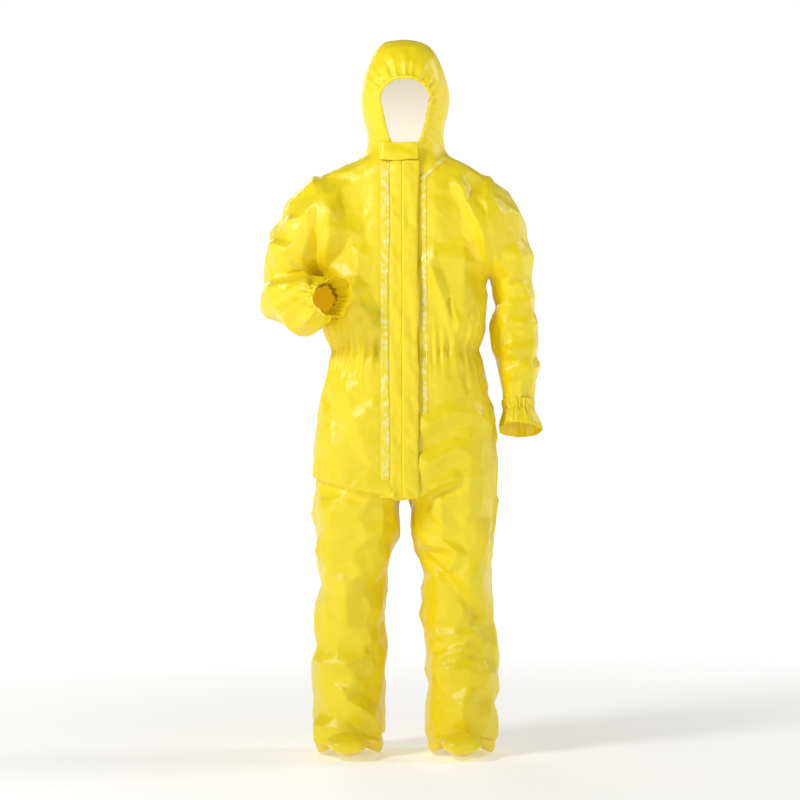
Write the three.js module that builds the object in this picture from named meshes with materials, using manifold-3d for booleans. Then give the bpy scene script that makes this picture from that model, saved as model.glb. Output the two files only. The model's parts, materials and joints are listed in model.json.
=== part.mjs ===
// A hooded chemical protective coverall, shaped as it is worn, with nobody inside.
// Millimetres, +Z up, front towards -Y, the wearer's left arm towards +X.
// The origin is the middle of the collar seam, where the wearer's neck and shoulders carry the suit.
// The film laminate is a thin shell: every panel is cut from one hollow body of lofted tubes.
import * as THREE from "three";
import { mergeVertices } from "three/addons/utils/BufferGeometryUtils.js";
import Module from "manifold-3d";

const wasm = await Module();
wasm.setup();

// ---- Driving dimensions -------------------------------------------------------------------

const WALL = 2.5; // panel thickness, with its seam allowance
const GAP = 0.3; // between two pieces that touch
const TAPE = 0.8; // thickness of a seam tape
const ELASTIC = 1.5; // thickness of an elastic band
const SMALLEST_EDGE = 0.06;
const WELD = 0.005; // two corners nearer than this are one
const OVERRUN = 6; // how far a hollow runs past an open end

// Lengths, stacked from the soles up
const HEM_Z = 14;
const KNEE_Z = 440;
const KNEE_TO_CROTCH = 210;
const CROTCH_TO_WAIST = 371;
const WAIST_TO_ARMPIT = 189;
const ARMPIT_TO_COLLAR = 288;
const COLLAR_TO_CROWN = 302;

const CROTCH_Z = KNEE_Z + KNEE_TO_CROTCH;
const WAIST_Z = CROTCH_Z + CROTCH_TO_WAIST;
const ARMPIT_Z = WAIST_Z + WAIST_TO_ARMPIT;
const COLLAR_Z = ARMPIT_Z + ARMPIT_TO_COLLAR;
const CROWN_Z = COLLAR_Z + COLLAR_TO_CROWN;

// Half widths
const ARMHOLE_X = 213; // the armhole seams lie in two upright planes
const CHEST_X = ARMHOLE_X - 8; // the body keeps clear of the armhole planes
const HIP_X = 229;
const WAIST_X = 189;
const NECK_X = 97;
const HOOD_X = 111;
const LEG_X = 94;

// Depths, from the collar's middle: forward is negative
const CROTCH_FRONT = -150;
const CHIN_FRONT = -95;
const SEAT_BACK = 140;
const CHEST_BACK = 138;
const WAIST_BACK = 112;
const NECK_BACK = 88;
const HOOD_BACK = 134;
const SIDE_SEAM_Y = 10;

// Face opening
const CHIN_Z = COLLAR_Z + 38;
const BROW_Z = COLLAR_Z + 200;
const FACE_X = 63;
const FACE_HEM = 8;

// The soft zones that fold at the hinges
const HIP_ZONE = 114; // its edges run slantwise, up and out from the crotch
const HIP_SLANT = 0.9;
const HIP_APEX = 4; // above the crotch
const KNEE_ZONE = 70;
const NECK_ZONE_TOP = COLLAR_Z + 58;
const LEFT_ELBOW_ZONES = [60, 60]; // above the elbow, and past it
const RIGHT_ELBOW_ZONES = [84, 118];

// Front closure, measured across and out from the zip's middle line
const ZIP_SLOT = 14;
const ZIP_BOTTOM = 12; // above the crotch, along the placket
const TOOTH_IN = 0.8;
const TOOTH_OUT = 3.6;
const ZIP_TAPE_OUT = 17;
const ZIP_TAPE = 1.2;
const SLIDER_LENGTH = 14;
const SLIDER_PLATE = 1.6;
const BRIDGE = 0.9;
const PULLER_LENGTH = 22;
const PULLER_WIDTH = 8;
const PULLER_THICK = 1.4;
const PIVOT_OUT = 3.8;
const FLAP_HINGE_X = -62;
const FLAP_STEP_X = -13; // where the flap rises over the zip
const FLAP_EDGE_X = 28;
const FLAP_RISE = 8.3;
const FLAP_LENGTH = 840;
const CHIN_FLAP_X = -66;
const CHIN_FLAP_TOP = CHIN_Z + 2;
const PLACKET_TAPE = 20;

// Foot
const FOOT_X = 142;
const TOE_Y = -192;
const HEEL_Y = 78;
const FOOT_HALF = 50;
const INSTEP_GAP = 6;

// Facets round each tube
const TORSO_SIDES = 20;
const HOOD_SIDES = 16;
const LIMB_SIDES = 14;
const FOOT_SIDES = 12;

// ---- Solids -------------------------------------------------------------------------------

const vec = (x, y, z) => new THREE.Vector3(x, y, z);

function solidOf(geometry, matrix = new THREE.Matrix4()) {
  const bare = geometry.clone();
  bare.deleteAttribute("normal");
  bare.deleteAttribute("uv");
  bare.applyMatrix4(matrix);
  const merged = mergeVertices(bare, WELD);
  return new wasm.Manifold(
    new wasm.Mesh({
      numProp: 3,
      vertProperties: merged.attributes.position.array,
      triVerts: new Uint32Array(merged.index.array),
    }),
  );
}

// A cut can leave crumbs, so only the largest body is kept.
const largest = (solid) => solid.decompose().sort((a, b) => b.volume() - a.volume())[0];

function geometryOf(solid) {
  const { vertProperties, triVerts, numProp } = solid.getMesh();
  const geometry = new THREE.BufferGeometry();
  geometry.setAttribute("position", new THREE.BufferAttribute(new Float32Array(vertProperties), numProp));
  geometry.setIndex(new THREE.BufferAttribute(triVerts, 1));
  return geometry;
}

function meshOf(name, solid, material) {
  const welded = solidOf(geometryOf(largest(solid).simplify(SMALLEST_EDGE)));
  const geometry = geometryOf(largest(welded));
  geometry.computeVertexNormals();
  const mesh = new THREE.Mesh(geometry, material);
  mesh.name = name;
  return mesh;
}

function box(x0, x1, y0, y1, z0, z1) {
  const geometry = new THREE.BoxGeometry(x1 - x0, y1 - y0, z1 - z0);
  geometry.translate((x0 + x1) / 2, (y0 + y1) / 2, (z0 + z1) / 2);
  return solidOf(geometry);
}

// A block whose near face passes through a point and whose bulk lies along a direction.
function blockBeyond(point, direction, reach = 400, across = 130) {
  const geometry = new THREE.BoxGeometry(2 * across, 2 * across, reach);
  geometry.translate(0, 0, reach / 2);
  const turn = new THREE.Quaternion().setFromUnitVectors(vec(0, 0, 1), direction.clone().normalize());
  return solidOf(geometry, new THREE.Matrix4().compose(point, turn, vec(1, 1, 1)));
}

// A closed tube through stations. A station has a middle, a direction, two half axes and a
// squareness of 2 for an ellipse and more for a boxier section. grow moves the skin outwards.
function loft(stations, grow = 0, { sides = LIMB_SIDES, openStart = false, openEnd = false } = {}) {
  const rows = stations.length - 1;
  const geometry = new THREE.CylinderGeometry(1, 1, 1, sides, rows);
  const first = stations[0].across;
  const frames = [];
  stations.forEach((station, i) => {
    const along = station.along.clone().normalize();
    const before = i ? frames[i - 1].u : first.clone();
    const u = before.clone().addScaledVector(along, -before.dot(along)).normalize();
    const middle = station.at.clone();
    if (grow < 0 && ((i === 0 && openStart) || (i === rows && openEnd)))
      middle.addScaledVector(along, i ? OVERRUN : -OVERRUN);
    frames.push({ u, v: along.clone().cross(u), middle });
  });
  const position = geometry.attributes.position;
  for (let i = 0; i < position.count; i++) {
    const row = Math.round((0.5 - position.getY(i)) * rows);
    const { half, deep, power = 2 } = stations[row];
    const { u, v, middle } = frames[row];
    const rounded = (w, size) => Math.sign(w) * Math.abs(w) ** (2 / power) * Math.max(size + grow, 1);
    const point = middle
      .clone()
      .addScaledVector(u, rounded(position.getX(i), half))
      .addScaledVector(v, rounded(position.getZ(i), deep));
    position.setXYZ(i, point.x, point.y, point.z);
  }
  const solid = solidOf(geometry);
  return solid.volume() > 0 ? solid : solidOf(flipped(geometry));
}

function flipped(geometry) {
  const turned = geometry.clone();
  const index = turned.index.array;
  for (let i = 0; i < index.length; i += 3) [index[i + 1], index[i + 2]] = [index[i + 2], index[i + 1]];
  return turned;
}

// A station of an upright tube, from its half width and its front and back depths.
function level(z, half, front, back, x = 0, power = 2) {
  return {
    at: vec(x, (front + back) / 2, z),
    along: vec(0, 0, 1),
    across: vec(1, 0, 0),
    half,
    deep: (back - front) / 2,
    power,
  };
}

function ring(at, along, half, deep, across = vec(0, 0, 1)) {
  return { at, along, across, half, deep };
}

// ---- The suit's tubes ---------------------------------------------------------------------

const PLACKET_RISE = CHIN_Z - CROTCH_Z;
const PLACKET_LENGTH = Math.hypot(PLACKET_RISE, CHIN_FRONT - CROTCH_FRONT);
const PLACKET_LEAN = Math.atan2(CHIN_FRONT - CROTCH_FRONT, PLACKET_RISE);
const frontAt = (z) => CROTCH_FRONT + ((z - CROTCH_Z) / PLACKET_RISE) * (CHIN_FRONT - CROTCH_FRONT);
const BULGE = 4; // how far the loft passes the placket's plane, so that the cut there is flat

const torsoStations = [
  level(CROTCH_Z - 10, HIP_X - 4, frontAt(CROTCH_Z) - BULGE, SEAT_BACK - 15, 0, 2.6),
  level(CROTCH_Z + 110, HIP_X, frontAt(CROTCH_Z + 110) - BULGE, SEAT_BACK - 4, 0, 2.6),
  level(CROTCH_Z + 230, HIP_X - 3, frontAt(CROTCH_Z + 230) - BULGE, SEAT_BACK, 0, 2.5),
  level(WAIST_Z - 61, (HIP_X + WAIST_X) / 2 + 3, frontAt(WAIST_Z - 61) - BULGE, WAIST_BACK + 16, 0, 2.4),
  level(WAIST_Z, WAIST_X, frontAt(WAIST_Z) - BULGE, WAIST_BACK, 0, 2.3),
  level(WAIST_Z + 59, WAIST_X + 11, frontAt(WAIST_Z + 59) - BULGE, WAIST_BACK + 8, 0, 2.3),
  level(ARMPIT_Z - 30, CHEST_X - 2, frontAt(ARMPIT_Z - 30) - BULGE, CHEST_BACK - 5, 0, 2.4),
  level(ARMPIT_Z + 90, CHEST_X, frontAt(ARMPIT_Z + 90) - BULGE, CHEST_BACK, 0, 2.5),
  level(COLLAR_Z - 98, CHEST_X, frontAt(COLLAR_Z - 98) - BULGE, CHEST_BACK - 12, 0, 2.4),
  level(COLLAR_Z - 55, CHEST_X - 3, frontAt(COLLAR_Z - 55) - BULGE, CHEST_BACK - 24, 0, 2.2),
  level(COLLAR_Z - 36, CHEST_X - 4, frontAt(COLLAR_Z - 32) - BULGE, CHEST_BACK - 36, 0, 2.1),
  level(COLLAR_Z - 20, CHEST_X - 24, frontAt(COLLAR_Z - 18) - BULGE, NECK_BACK + 8, 0, 2),
  level(COLLAR_Z - 6, NECK_X + 40, frontAt(COLLAR_Z - 6) - BULGE, NECK_BACK + 4, 0, 2),
  level(COLLAR_Z + 2, NECK_X + 8, frontAt(COLLAR_Z + 2) - BULGE, NECK_BACK + 2, 0, 2),
];

const hoodStations = [
  level(COLLAR_Z - 30, NECK_X + 12, frontAt(COLLAR_Z - 30) - BULGE, NECK_BACK + 4),
  level(COLLAR_Z + 2, NECK_X + 6, frontAt(COLLAR_Z + 2) - BULGE, NECK_BACK),
  level(COLLAR_Z + 24, NECK_X, frontAt(COLLAR_Z + 24) - BULGE, NECK_BACK - 2),
  level(COLLAR_Z + 60, NECK_X + 2, CHIN_FRONT - 8, NECK_BACK + 6),
  level(COLLAR_Z + 100, HOOD_X - 6, CHIN_FRONT - 18, HOOD_BACK - 22),
  level(COLLAR_Z + 142, HOOD_X, CHIN_FRONT - 26, HOOD_BACK - 5),
  level(COLLAR_Z + 190, HOOD_X - 2, CHIN_FRONT - 28, HOOD_BACK),
  level(COLLAR_Z + 228, HOOD_X - 12, CHIN_FRONT - 20, HOOD_BACK - 6),
  level(COLLAR_Z + 258, HOOD_X - 28, CHIN_FRONT - 2, HOOD_BACK - 20),
  level(CROWN_Z - 18, HOOD_X - 50, CHIN_FRONT + 28, HOOD_BACK - 48),
  level(CROWN_Z - 5, HOOD_X - 75, CHIN_FRONT + 55, HOOD_BACK - 78),
  level(CROWN_Z, HOOD_X - 95, CHIN_FRONT + 78, HOOD_BACK - 102),
];

function legStations(side) {
  const at = (z, x, half, front, back) => level(z, half, front, back, side * x, 2.2);
  return [
    at(CROTCH_Z + 30, HIP_X / 2 + 1, HIP_X / 2 - 3, CROTCH_FRONT + 14, SEAT_BACK - 16),
    at(CROTCH_Z - 3, HIP_X / 2 + 3, HIP_X / 2 - 2, CROTCH_FRONT + 18, SEAT_BACK - 20),
    at(CROTCH_Z - 66, FOOT_X - 15, LEG_X + 14, CROTCH_FRONT + 30, SEAT_BACK - 26),
    at(CROTCH_Z - 130, FOOT_X - 9, LEG_X + 3, CROTCH_FRONT + 40, SEAT_BACK - 30),
    at(KNEE_Z, FOOT_X - 2, LEG_X + 1, CROTCH_FRONT + 46, SEAT_BACK - 32),
    at(KNEE_Z * 0.62, FOOT_X + 6, LEG_X, CROTCH_FRONT + 54, SEAT_BACK - 22),
    at(KNEE_Z * 0.4, FOOT_X + 8, LEG_X + 2, CROTCH_FRONT + 54, SEAT_BACK - 16),
    at(HEM_Z + 76, FOOT_X + 6, LEG_X - 7, CROTCH_FRONT + 50, SEAT_BACK - 26),
    at(HEM_Z, FOOT_X, LEG_X - 10, CROTCH_FRONT + 46, SEAT_BACK - 32),
  ].reverse();
}

// Arms. The left one hangs, and the right one is bent so that its cuff faces forwards.
// Each armhole is a circle about the line that its sleeve swings on.
const ARMHOLE_Z = ARMPIT_Z + 122;
const ARMHOLE_Y = 6;
const ARMHOLE_RADIUS = 124;
const LEFT_ELBOW = vec(272, 5, ARMPIT_Z - 92);
const LEFT_WRIST_BELOW = 213;
const RIGHT_WRIST_AHEAD = 182;
const RIGHT_ELBOW = vec(-303, 8, ARMPIT_Z - 72);
const RIGHT_UPPER = vec(-0.1, 0.03, -1).normalize();
const RIGHT_FORE = vec(0.48, -0.875, 0.05).normalize();
const RIGHT_BEND = RIGHT_UPPER.clone().add(RIGHT_FORE).normalize();
const RIGHT_CROOK = RIGHT_FORE.clone().sub(RIGHT_UPPER).normalize();

const LEFT_DOME = [
  [ARMHOLE_X + 42, ARMHOLE_Z - 8, 108],
  [ARMHOLE_X + 74, ARMHOLE_Z - 26, 82],
  [ARMHOLE_X + 98, ARMHOLE_Z - 44, 50],
  [ARMHOLE_X + 106, ARMHOLE_Z - 48, 26],
];
const RIGHT_DOME = [
  [ARMHOLE_X + 42, ARMHOLE_Z - 6, 112],
  [ARMHOLE_X + 80, ARMHOLE_Z - 20, 92],
  [ARMHOLE_X + 114, ARMHOLE_Z - 36, 60],
  [ARMHOLE_X + 130, ARMHOLE_Z - 42, 30],
];

// The round shoulder of a sleeve, from inside the body to its outermost point.
function dome(side, steps) {
  const start = [
    [ARMHOLE_X - 90, ARMHOLE_Z, 94],
    [ARMHOLE_X - 12, ARMHOLE_Z, ARMHOLE_RADIUS],
    [ARMHOLE_X + 9, ARMHOLE_Z, ARMHOLE_RADIUS],
  ];
  return [...start, ...steps].map(([x, z, radius]) =>
    ring(vec(side * x, ARMHOLE_Y, z), vec(side, 0, 0), radius, radius),
  );
}

const leftArm = {
  shoulder: dome(1, LEFT_DOME),
  tube: [
    ring(vec(262, 6, ARMPIT_Z + 73), vec(0.1, 0, -1), 50, 68, vec(1, 0, 0)),
    ring(vec(270, 6, ARMPIT_Z + 26), vec(0.1, 0, -1), 55, 70),
    ring(LEFT_ELBOW.clone().add(vec(2, 0, 62)), vec(0.05, 0, -1), 56, 66),
    ring(LEFT_ELBOW, vec(0.03, 0, -1), 57, 60),
    ring(LEFT_ELBOW.clone().add(vec(8, -4, -134)), vec(0.05, -0.05, -1), 51, 55),
    ring(LEFT_ELBOW.clone().add(vec(13, -12, -LEFT_WRIST_BELOW)), vec(0.06, -0.12, -1), 50, 51),
  ],
};
const rightArm = {
  shoulder: dome(-1, RIGHT_DOME),
  tube: [
    ring(vec(-284, 6, ARMPIT_Z + 70), RIGHT_UPPER, 62, 74, vec(-1, 0, 0)),
    ring(RIGHT_ELBOW.clone().addScaledVector(RIGHT_UPPER, -90), RIGHT_UPPER, 67, 71),
    ring(RIGHT_ELBOW.clone().addScaledVector(RIGHT_CROOK, 18), RIGHT_BEND, 72, 80),
    ring(RIGHT_ELBOW.clone().addScaledVector(RIGHT_FORE, 100), RIGHT_FORE, 65, 63),
    ring(RIGHT_ELBOW.clone().addScaledVector(RIGHT_FORE, RIGHT_WRIST_AHEAD), RIGHT_FORE, 55, 54),
  ],
};

// The cuff closes on the wrist and flares again past the elastic.
const CUFF_AT = 30;
const CUFF_LENGTH = 44;
const CUFF_STEPS = [
  [CUFF_AT, 35, 37],
  [CUFF_AT + 20, 43, 43],
  [CUFF_AT + CUFF_LENGTH, 48, 46],
];
function cuff({ tube }) {
  const { at, along } = tube.at(-1);
  const ahead = along.clone().normalize();
  return CUFF_STEPS.map(([reach, half, deep]) =>
    ring(at.clone().addScaledVector(ahead, reach), ahead, half, deep),
  );
}

function torso(grow) {
  const plane = new THREE.Matrix4()
    .makeRotationX(-PLACKET_LEAN)
    .setPosition(0, CROTCH_FRONT - grow, CROTCH_Z);
  const behind = new THREE.BoxGeometry(1200, 600, 2400).translate(0, 300, 0);
  return loft(torsoStations, grow, { sides: TORSO_SIDES, openStart: true, openEnd: true })
    .add(loft(hoodStations, grow, { sides: HOOD_SIDES, openStart: true }))
    .intersect(solidOf(behind, plane).add(box(-300, 300, -400, 400, CHIN_Z + 10, CROWN_Z + 50)));
}

const sleeve = (arm, grow) => loft([...arm.tube, ...cuff(arm)], grow, { openEnd: true });
const wholeArm = (arm, grow) => sleeve(arm, grow).add(loft(arm.shoulder, grow));
const leg = (side, grow) => loft(legStations(side), grow, { openStart: true });
const body = (grow) => torso(grow).add(leg(1, grow)).add(leg(-1, grow));
const suit = (grow) => body(grow).add(wholeArm(leftArm, grow)).add(wholeArm(rightArm, grow));

const shellOf = (solid) => solid(0).subtract(solid(-WALL));
const suitShell = shellOf(suit);
const bodyShell = shellOf(body);

// ---- Cutting the shell into its panels ----------------------------------------------------

const FAR = 1500;
const below = (z) => box(-FAR, FAR, -FAR, FAR, -FAR, z);
const above = (z) => box(-FAR, FAR, -FAR, FAR, z, 2 * FAR);
const between = (z0, z1) => box(-FAR, FAR, -FAR, FAR, z0, z1);
const side = (s) =>
  s < 0
    ? box(-FAR, -GAP / 2, -FAR, FAR, -FAR, 2 * FAR)
    : box(GAP / 2, FAR, -FAR, FAR, -FAR, 2 * FAR);
const besideChest = box(-FAR, FAR, -FAR, FAR, ARMPIT_Z - 60, 2 * FAR).subtract(
  box(-ARMHOLE_X, ARMHOLE_X, -FAR, FAR, -FAR, 3 * FAR),
);
const outside = (s) =>
  s < 0
    ? box(-FAR, -ARMHOLE_X - GAP, -FAR, FAR, 0, 2 * FAR)
    : box(ARMHOLE_X + GAP, FAR, -FAR, FAR, 0, 2 * FAR);
// What lies past the slanted hip line on one side, a distance down the leg from it
function pastHip(s, distance) {
  const down = vec(s * HIP_SLANT, 0, -1).normalize();
  return blockBeyond(vec(0, 0, CROTCH_Z + HIP_APEX).addScaledVector(down, distance), down, 1000, 800);
}

// Across the placket: x from the zip's middle, out from the panels' face, up from the crotch.
const placketFrame = new THREE.Matrix4()
  .makeRotationX(-PLACKET_LEAN)
  .setPosition(0, CROTCH_FRONT, CROTCH_Z);
function placketBox(x0, x1, out0, out1, up0, up1) {
  const geometry = new THREE.BoxGeometry(x1 - x0, out1 - out0, up1 - up0);
  geometry.translate((x0 + x1) / 2, -(out0 + out1) / 2, (up0 + up1) / 2);
  return solidOf(geometry, placketFrame);
}

// ---- Materials ----------------------------------------------------------------------------

const paint = (color, roughness, metalness = 0) =>
  new THREE.MeshStandardMaterial({ color, roughness, metalness });
const laminate = paint(0xf2dc12, 0.45);
const seamTape = paint(0xf3ea8a, 0.35);
const lining = paint(0xeeeae0, 0.8);
const elastic = paint(0xe9e2c8, 0.9);
const zipTape = paint(0xe8cf1c, 0.9);
const zipTeeth = paint(0xe6d13a, 0.4);
const sliderPaint = paint(0xd9c22a, 0.35, 0.4);
const adhesive = paint(0xf5f5f0, 0.5);

const model = new THREE.Group();
model.position.z = -COLLAR_Z;
const give = (name, solid, material, parent = model) => parent.add(meshOf(name, solid, material));

// ---- Torso --------------------------------------------------------------------------------

const trunk = suitShell
  .subtract(besideChest)
  .intersect(below(COLLAR_Z))
  .subtract(pastHip(1, -GAP))
  .subtract(pastHip(-1, -GAP));
const zipSlot = placketBox(-ZIP_SLOT / 2, ZIP_SLOT / 2, -30, 30, -200, PLACKET_LENGTH + 100);
const frontHalf = box(-FAR, FAR, -FAR, SIDE_SEAM_Y - GAP / 2, -FAR, 2 * FAR);
const backHalf = box(-FAR, FAR, SIDE_SEAM_Y + GAP / 2, FAR, -FAR, 2 * FAR);

give("front_panel_right", trunk.intersect(frontHalf).subtract(zipSlot).intersect(side(-1)), laminate);
give("front_panel_left", trunk.intersect(frontHalf).subtract(zipSlot).intersect(side(1)), laminate);
give("back_panel", trunk.intersect(backHalf), laminate);

const insideBand = torso(-WALL - GAP).subtract(torso(-WALL - GAP - ELASTIC));
const WAIST_BAND = 16;
give(
  "waist_elastic",
  insideBand
    .intersect(between(WAIST_Z - WAIST_BAND / 2, WAIST_Z + WAIST_BAND / 2))
    .subtract(box(-40, 40, -FAR, 0, -FAR, 2 * FAR)),
  elastic,
);

// Seam tapes are bonded over the seams, on the outside.
const tapeSkin = suit(2 * GAP + TAPE)
  .subtract(suit(2 * GAP))
  .subtract(pastHip(1, -4))
  .subtract(pastHip(-1, -4));
const tapeStrip = (x0, x1) => box(x0, x1, -FAR, 0, CROTCH_Z, COLLAR_Z - 12);
give(
  "placket_tape_right",
  tapeSkin.intersect(tapeStrip(FLAP_HINGE_X - 2 - PLACKET_TAPE, FLAP_HINGE_X - 2)),
  seamTape,
);
give("placket_tape_left", tapeSkin.intersect(tapeStrip(43, 43 + PLACKET_TAPE)), seamTape);
for (const [name, s] of [
  ["armhole_tape_right", -1],
  ["armhole_tape_left", 1],
]) {
  const near = s < 0 ? [-ARMHOLE_X + 1, -ARMHOLE_X + 19] : [ARMHOLE_X - 19, ARMHOLE_X - 1];
  const front = box(near[0], near[1], -FAR, SIDE_SEAM_Y - 20, ARMPIT_Z + 30, COLLAR_Z - 40);
  give(name, tapeSkin.intersect(front), seamTape);
}
give("back_seam_tape", tapeSkin.intersect(box(-9, 9, 30, FAR, CROTCH_Z, COLLAR_Z - 14)), seamTape);

// ---- Hood ---------------------------------------------------------------------------------

// Round over the brow and narrower at the chin.
function faceShape(grow) {
  const rise = BROW_Z - CHIN_Z;
  const x = FACE_X + grow;
  const shape = new THREE.Shape();
  shape.moveTo(-x * 0.66, -grow);
  shape.lineTo(x * 0.66, -grow);
  shape.bezierCurveTo(x * 0.9, rise * 0.25, x, rise * 0.45, x, rise * 0.62);
  shape.bezierCurveTo(x, rise * 0.88, x * 0.5, rise + grow, 0, rise + grow);
  shape.bezierCurveTo(-x * 0.5, rise + grow, -x, rise * 0.88, -x, rise * 0.62);
  shape.bezierCurveTo(-x, rise * 0.45, -x * 0.9, rise * 0.25, -x * 0.66, -grow);
  return shape;
}
function facePrism(grow) {
  const options = { depth: 220, bevelEnabled: false, curveSegments: 6 };
  const geometry = new THREE.ExtrudeGeometry(faceShape(grow), options);
  geometry.rotateX(Math.PI / 2); // the shape's y axis becomes +Z and it is swept towards -Y
  geometry.translate(0, 0, CHIN_Z);
  return solidOf(geometry);
}
const HOOD_SEAM_X = 45;
const hoodShell = suitShell.intersect(above(NECK_ZONE_TOP + GAP));
const hoodCloth = hoodShell.subtract(facePrism(FACE_HEM + GAP));
give(
  "hood_centre_panel",
  hoodCloth.intersect(box(-HOOD_SEAM_X, HOOD_SEAM_X, -FAR, FAR, 0, 2 * FAR)),
  laminate,
);
give(
  "hood_side_right",
  hoodCloth.intersect(box(-FAR, -HOOD_SEAM_X - GAP, -FAR, FAR, 0, 2 * FAR)),
  laminate,
);
give("hood_side_left", hoodCloth.intersect(box(HOOD_SEAM_X + GAP, FAR, -FAR, FAR, 0, 2 * FAR)), laminate);
give("face_elastic_hem", hoodShell.intersect(facePrism(FACE_HEM)).subtract(facePrism(0)), laminate);
give(
  "collar_band",
  suitShell
    .intersect(between(COLLAR_Z + GAP, NECK_ZONE_TOP))
    .subtract(facePrism(0))
    .subtract(zipSlot),
  laminate,
);

// ---- Chin flap, round the front of the neck -----------------------------------------------

const CHIN_FLAP_BOTTOM = COLLAR_Z + 2;
const chinSkin = torso(GAP + 0.4 + WALL).subtract(torso(GAP + 0.4));
const chinSlab = (x0, x1) => box(x0, x1, -FAR, 0, CHIN_FLAP_BOTTOM, CHIN_FLAP_TOP);
give("chin_flap", chinSkin.intersect(chinSlab(CHIN_FLAP_X, FLAP_EDGE_X)), laminate);

// ---- Arms ---------------------------------------------------------------------------------

function armPanels(word, s, elbow, upper, fore, [zoneAbove, zonePast], arm) {
  const tube = shellOf((grow) => sleeve(arm, grow));
  const end = arm.tube.at(-1);
  const ahead = end.along.clone().normalize();
  const wristAt = end.at.clone().addScaledVector(ahead, CUFF_AT);
  const foreCut = elbow.clone().addScaledVector(fore, zonePast);
  const upperCut = elbow.clone().addScaledVector(upper, -zoneAbove);
  const foreBlock = blockBeyond(foreCut, fore, 420);
  const cuffBlock = blockBeyond(wristAt, ahead, 200);
  const upperBlock = blockBeyond(upperCut, upper.clone().negate(), 420, 200);
  const elbowFold = tube
    .subtract(blockBeyond(foreCut.clone().addScaledVector(fore, -GAP), fore, 420))
    .subtract(blockBeyond(upperCut.clone().addScaledVector(upper, GAP), upper.clone().negate(), 420, 200));
  give(`${word}_sleeve_upper`, suitShell.intersect(outside(s)).intersect(upperBlock), laminate);
  give(`${word}_elbow_fold`, elbowFold, laminate);
  give(
    `${word}_sleeve_lower`,
    tube
      .intersect(foreBlock)
      .subtract(blockBeyond(wristAt.clone().addScaledVector(ahead, -GAP), ahead, 200)),
    laminate,
  );
  give(`${word}_cuff`, tube.intersect(cuffBlock), laminate);
  const band = sleeve(arm, -WALL - GAP).subtract(sleeve(arm, -WALL - GAP - ELASTIC));
  const before = blockBeyond(wristAt.clone().addScaledVector(ahead, -5), ahead, 10, 90);
  give(`${word}_cuff_elastic`, band.intersect(before), elastic);
}
armPanels("right", -1, RIGHT_ELBOW, RIGHT_UPPER, RIGHT_FORE, RIGHT_ELBOW_ZONES, rightArm);
armPanels("left", 1, LEFT_ELBOW, vec(0, 0, -1), vec(0, 0, -1), LEFT_ELBOW_ZONES, leftArm);

// ---- Legs and socks -----------------------------------------------------------------------

const SOCK_TOP = HEM_Z + 150;
function footStations(s) {
  const at = (y, half, low, high) => ({
    at: vec(s * FOOT_X, y, (low + high) / 2),
    along: vec(0, -1, 0),
    across: vec(1, 0, 0),
    half,
    deep: (high - low) / 2,
    power: 2.4,
  });
  return [
    at(HEEL_Y, FOOT_HALF - 26, 2, 52),
    at(HEEL_Y - 18, FOOT_HALF - 13, -6, 86),
    at(HEEL_Y - 78, FOOT_HALF - 8, -6, 100),
    at(HEEL_Y - 128, FOOT_HALF - 4, -6, 86),
    at(HEEL_Y - 178, FOOT_HALF, -6, 64),
    at((TOE_Y + HEEL_Y - 178) / 2, FOOT_HALF - 2, -6, 50),
    at(TOE_Y + 14, FOOT_HALF - 14, -5, 38),
    at(TOE_Y, FOOT_HALF - 32, 0, 27),
  ];
}
const anklePlug = (s, grow) =>
  loft(
    [
      level(62, 36, -32, 72, s * FOOT_X),
      level(HEM_Z + 96, 46, -34, 78, s * FOOT_X, 2.1),
      level(
        SOCK_TOP,
        LEG_X - 9 - WALL,
        CROTCH_FRONT + 53 + WALL,
        SEAT_BACK - 23 - WALL,
        s * (FOOT_X + 6),
        2.2,
      ),
    ],
    grow,
    { openEnd: true },
  );
const foot = (s, grow) =>
  loft(footStations(s), grow, { sides: FOOT_SIDES })
    .add(anklePlug(s, grow).intersect(leg(s, grow - WALL - GAP)))
    .intersect(above(-grow));

function legPanels(word, s) {
  const tube = bodyShell.intersect(side(s)).intersect(pastHip(s, 0));
  const notch = foot(s, INSTEP_GAP);
  const kneeTop = KNEE_Z + KNEE_ZONE;
  const kneeBottom = KNEE_Z - KNEE_ZONE;
  give(`${word}_seat_fold`, tube.subtract(pastHip(s, HIP_ZONE - GAP)), laminate);
  give(`${word}_leg_upper`, tube.intersect(pastHip(s, HIP_ZONE)).intersect(above(kneeTop + GAP)), laminate);
  give(`${word}_knee_fold`, tube.intersect(between(kneeBottom + GAP, kneeTop)), laminate);
  give(
    `${word}_leg_lower`,
    tube.intersect(below(kneeBottom)).subtract(notch.intersect(below(HEM_Z + 90))),
    laminate,
  );
  const band = leg(s, -WALL - GAP).subtract(leg(s, -WALL - GAP - ELASTIC));
  const hem = band.intersect(between(HEM_Z + 4, HEM_Z + 14)).subtract(notch);
  give(`${word}_hem_elastic`, hem.subtract(box(-FAR, FAR, -FAR, CROTCH_FRONT + 75, -FAR, FAR)), elastic);
  give(`${word}_sock`, foot(s, 0).subtract(foot(s, -WALL)), laminate);
}
legPanels("right", -1);
legPanels("left", 1);

// ---- Front closure, in a group that leans with the placket --------------------------------

const placket = new THREE.Group();
placket.position.set(0, CROTCH_FRONT, CROTCH_Z);
placket.rotation.x = -PLACKET_LEAN;
model.add(placket);

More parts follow.
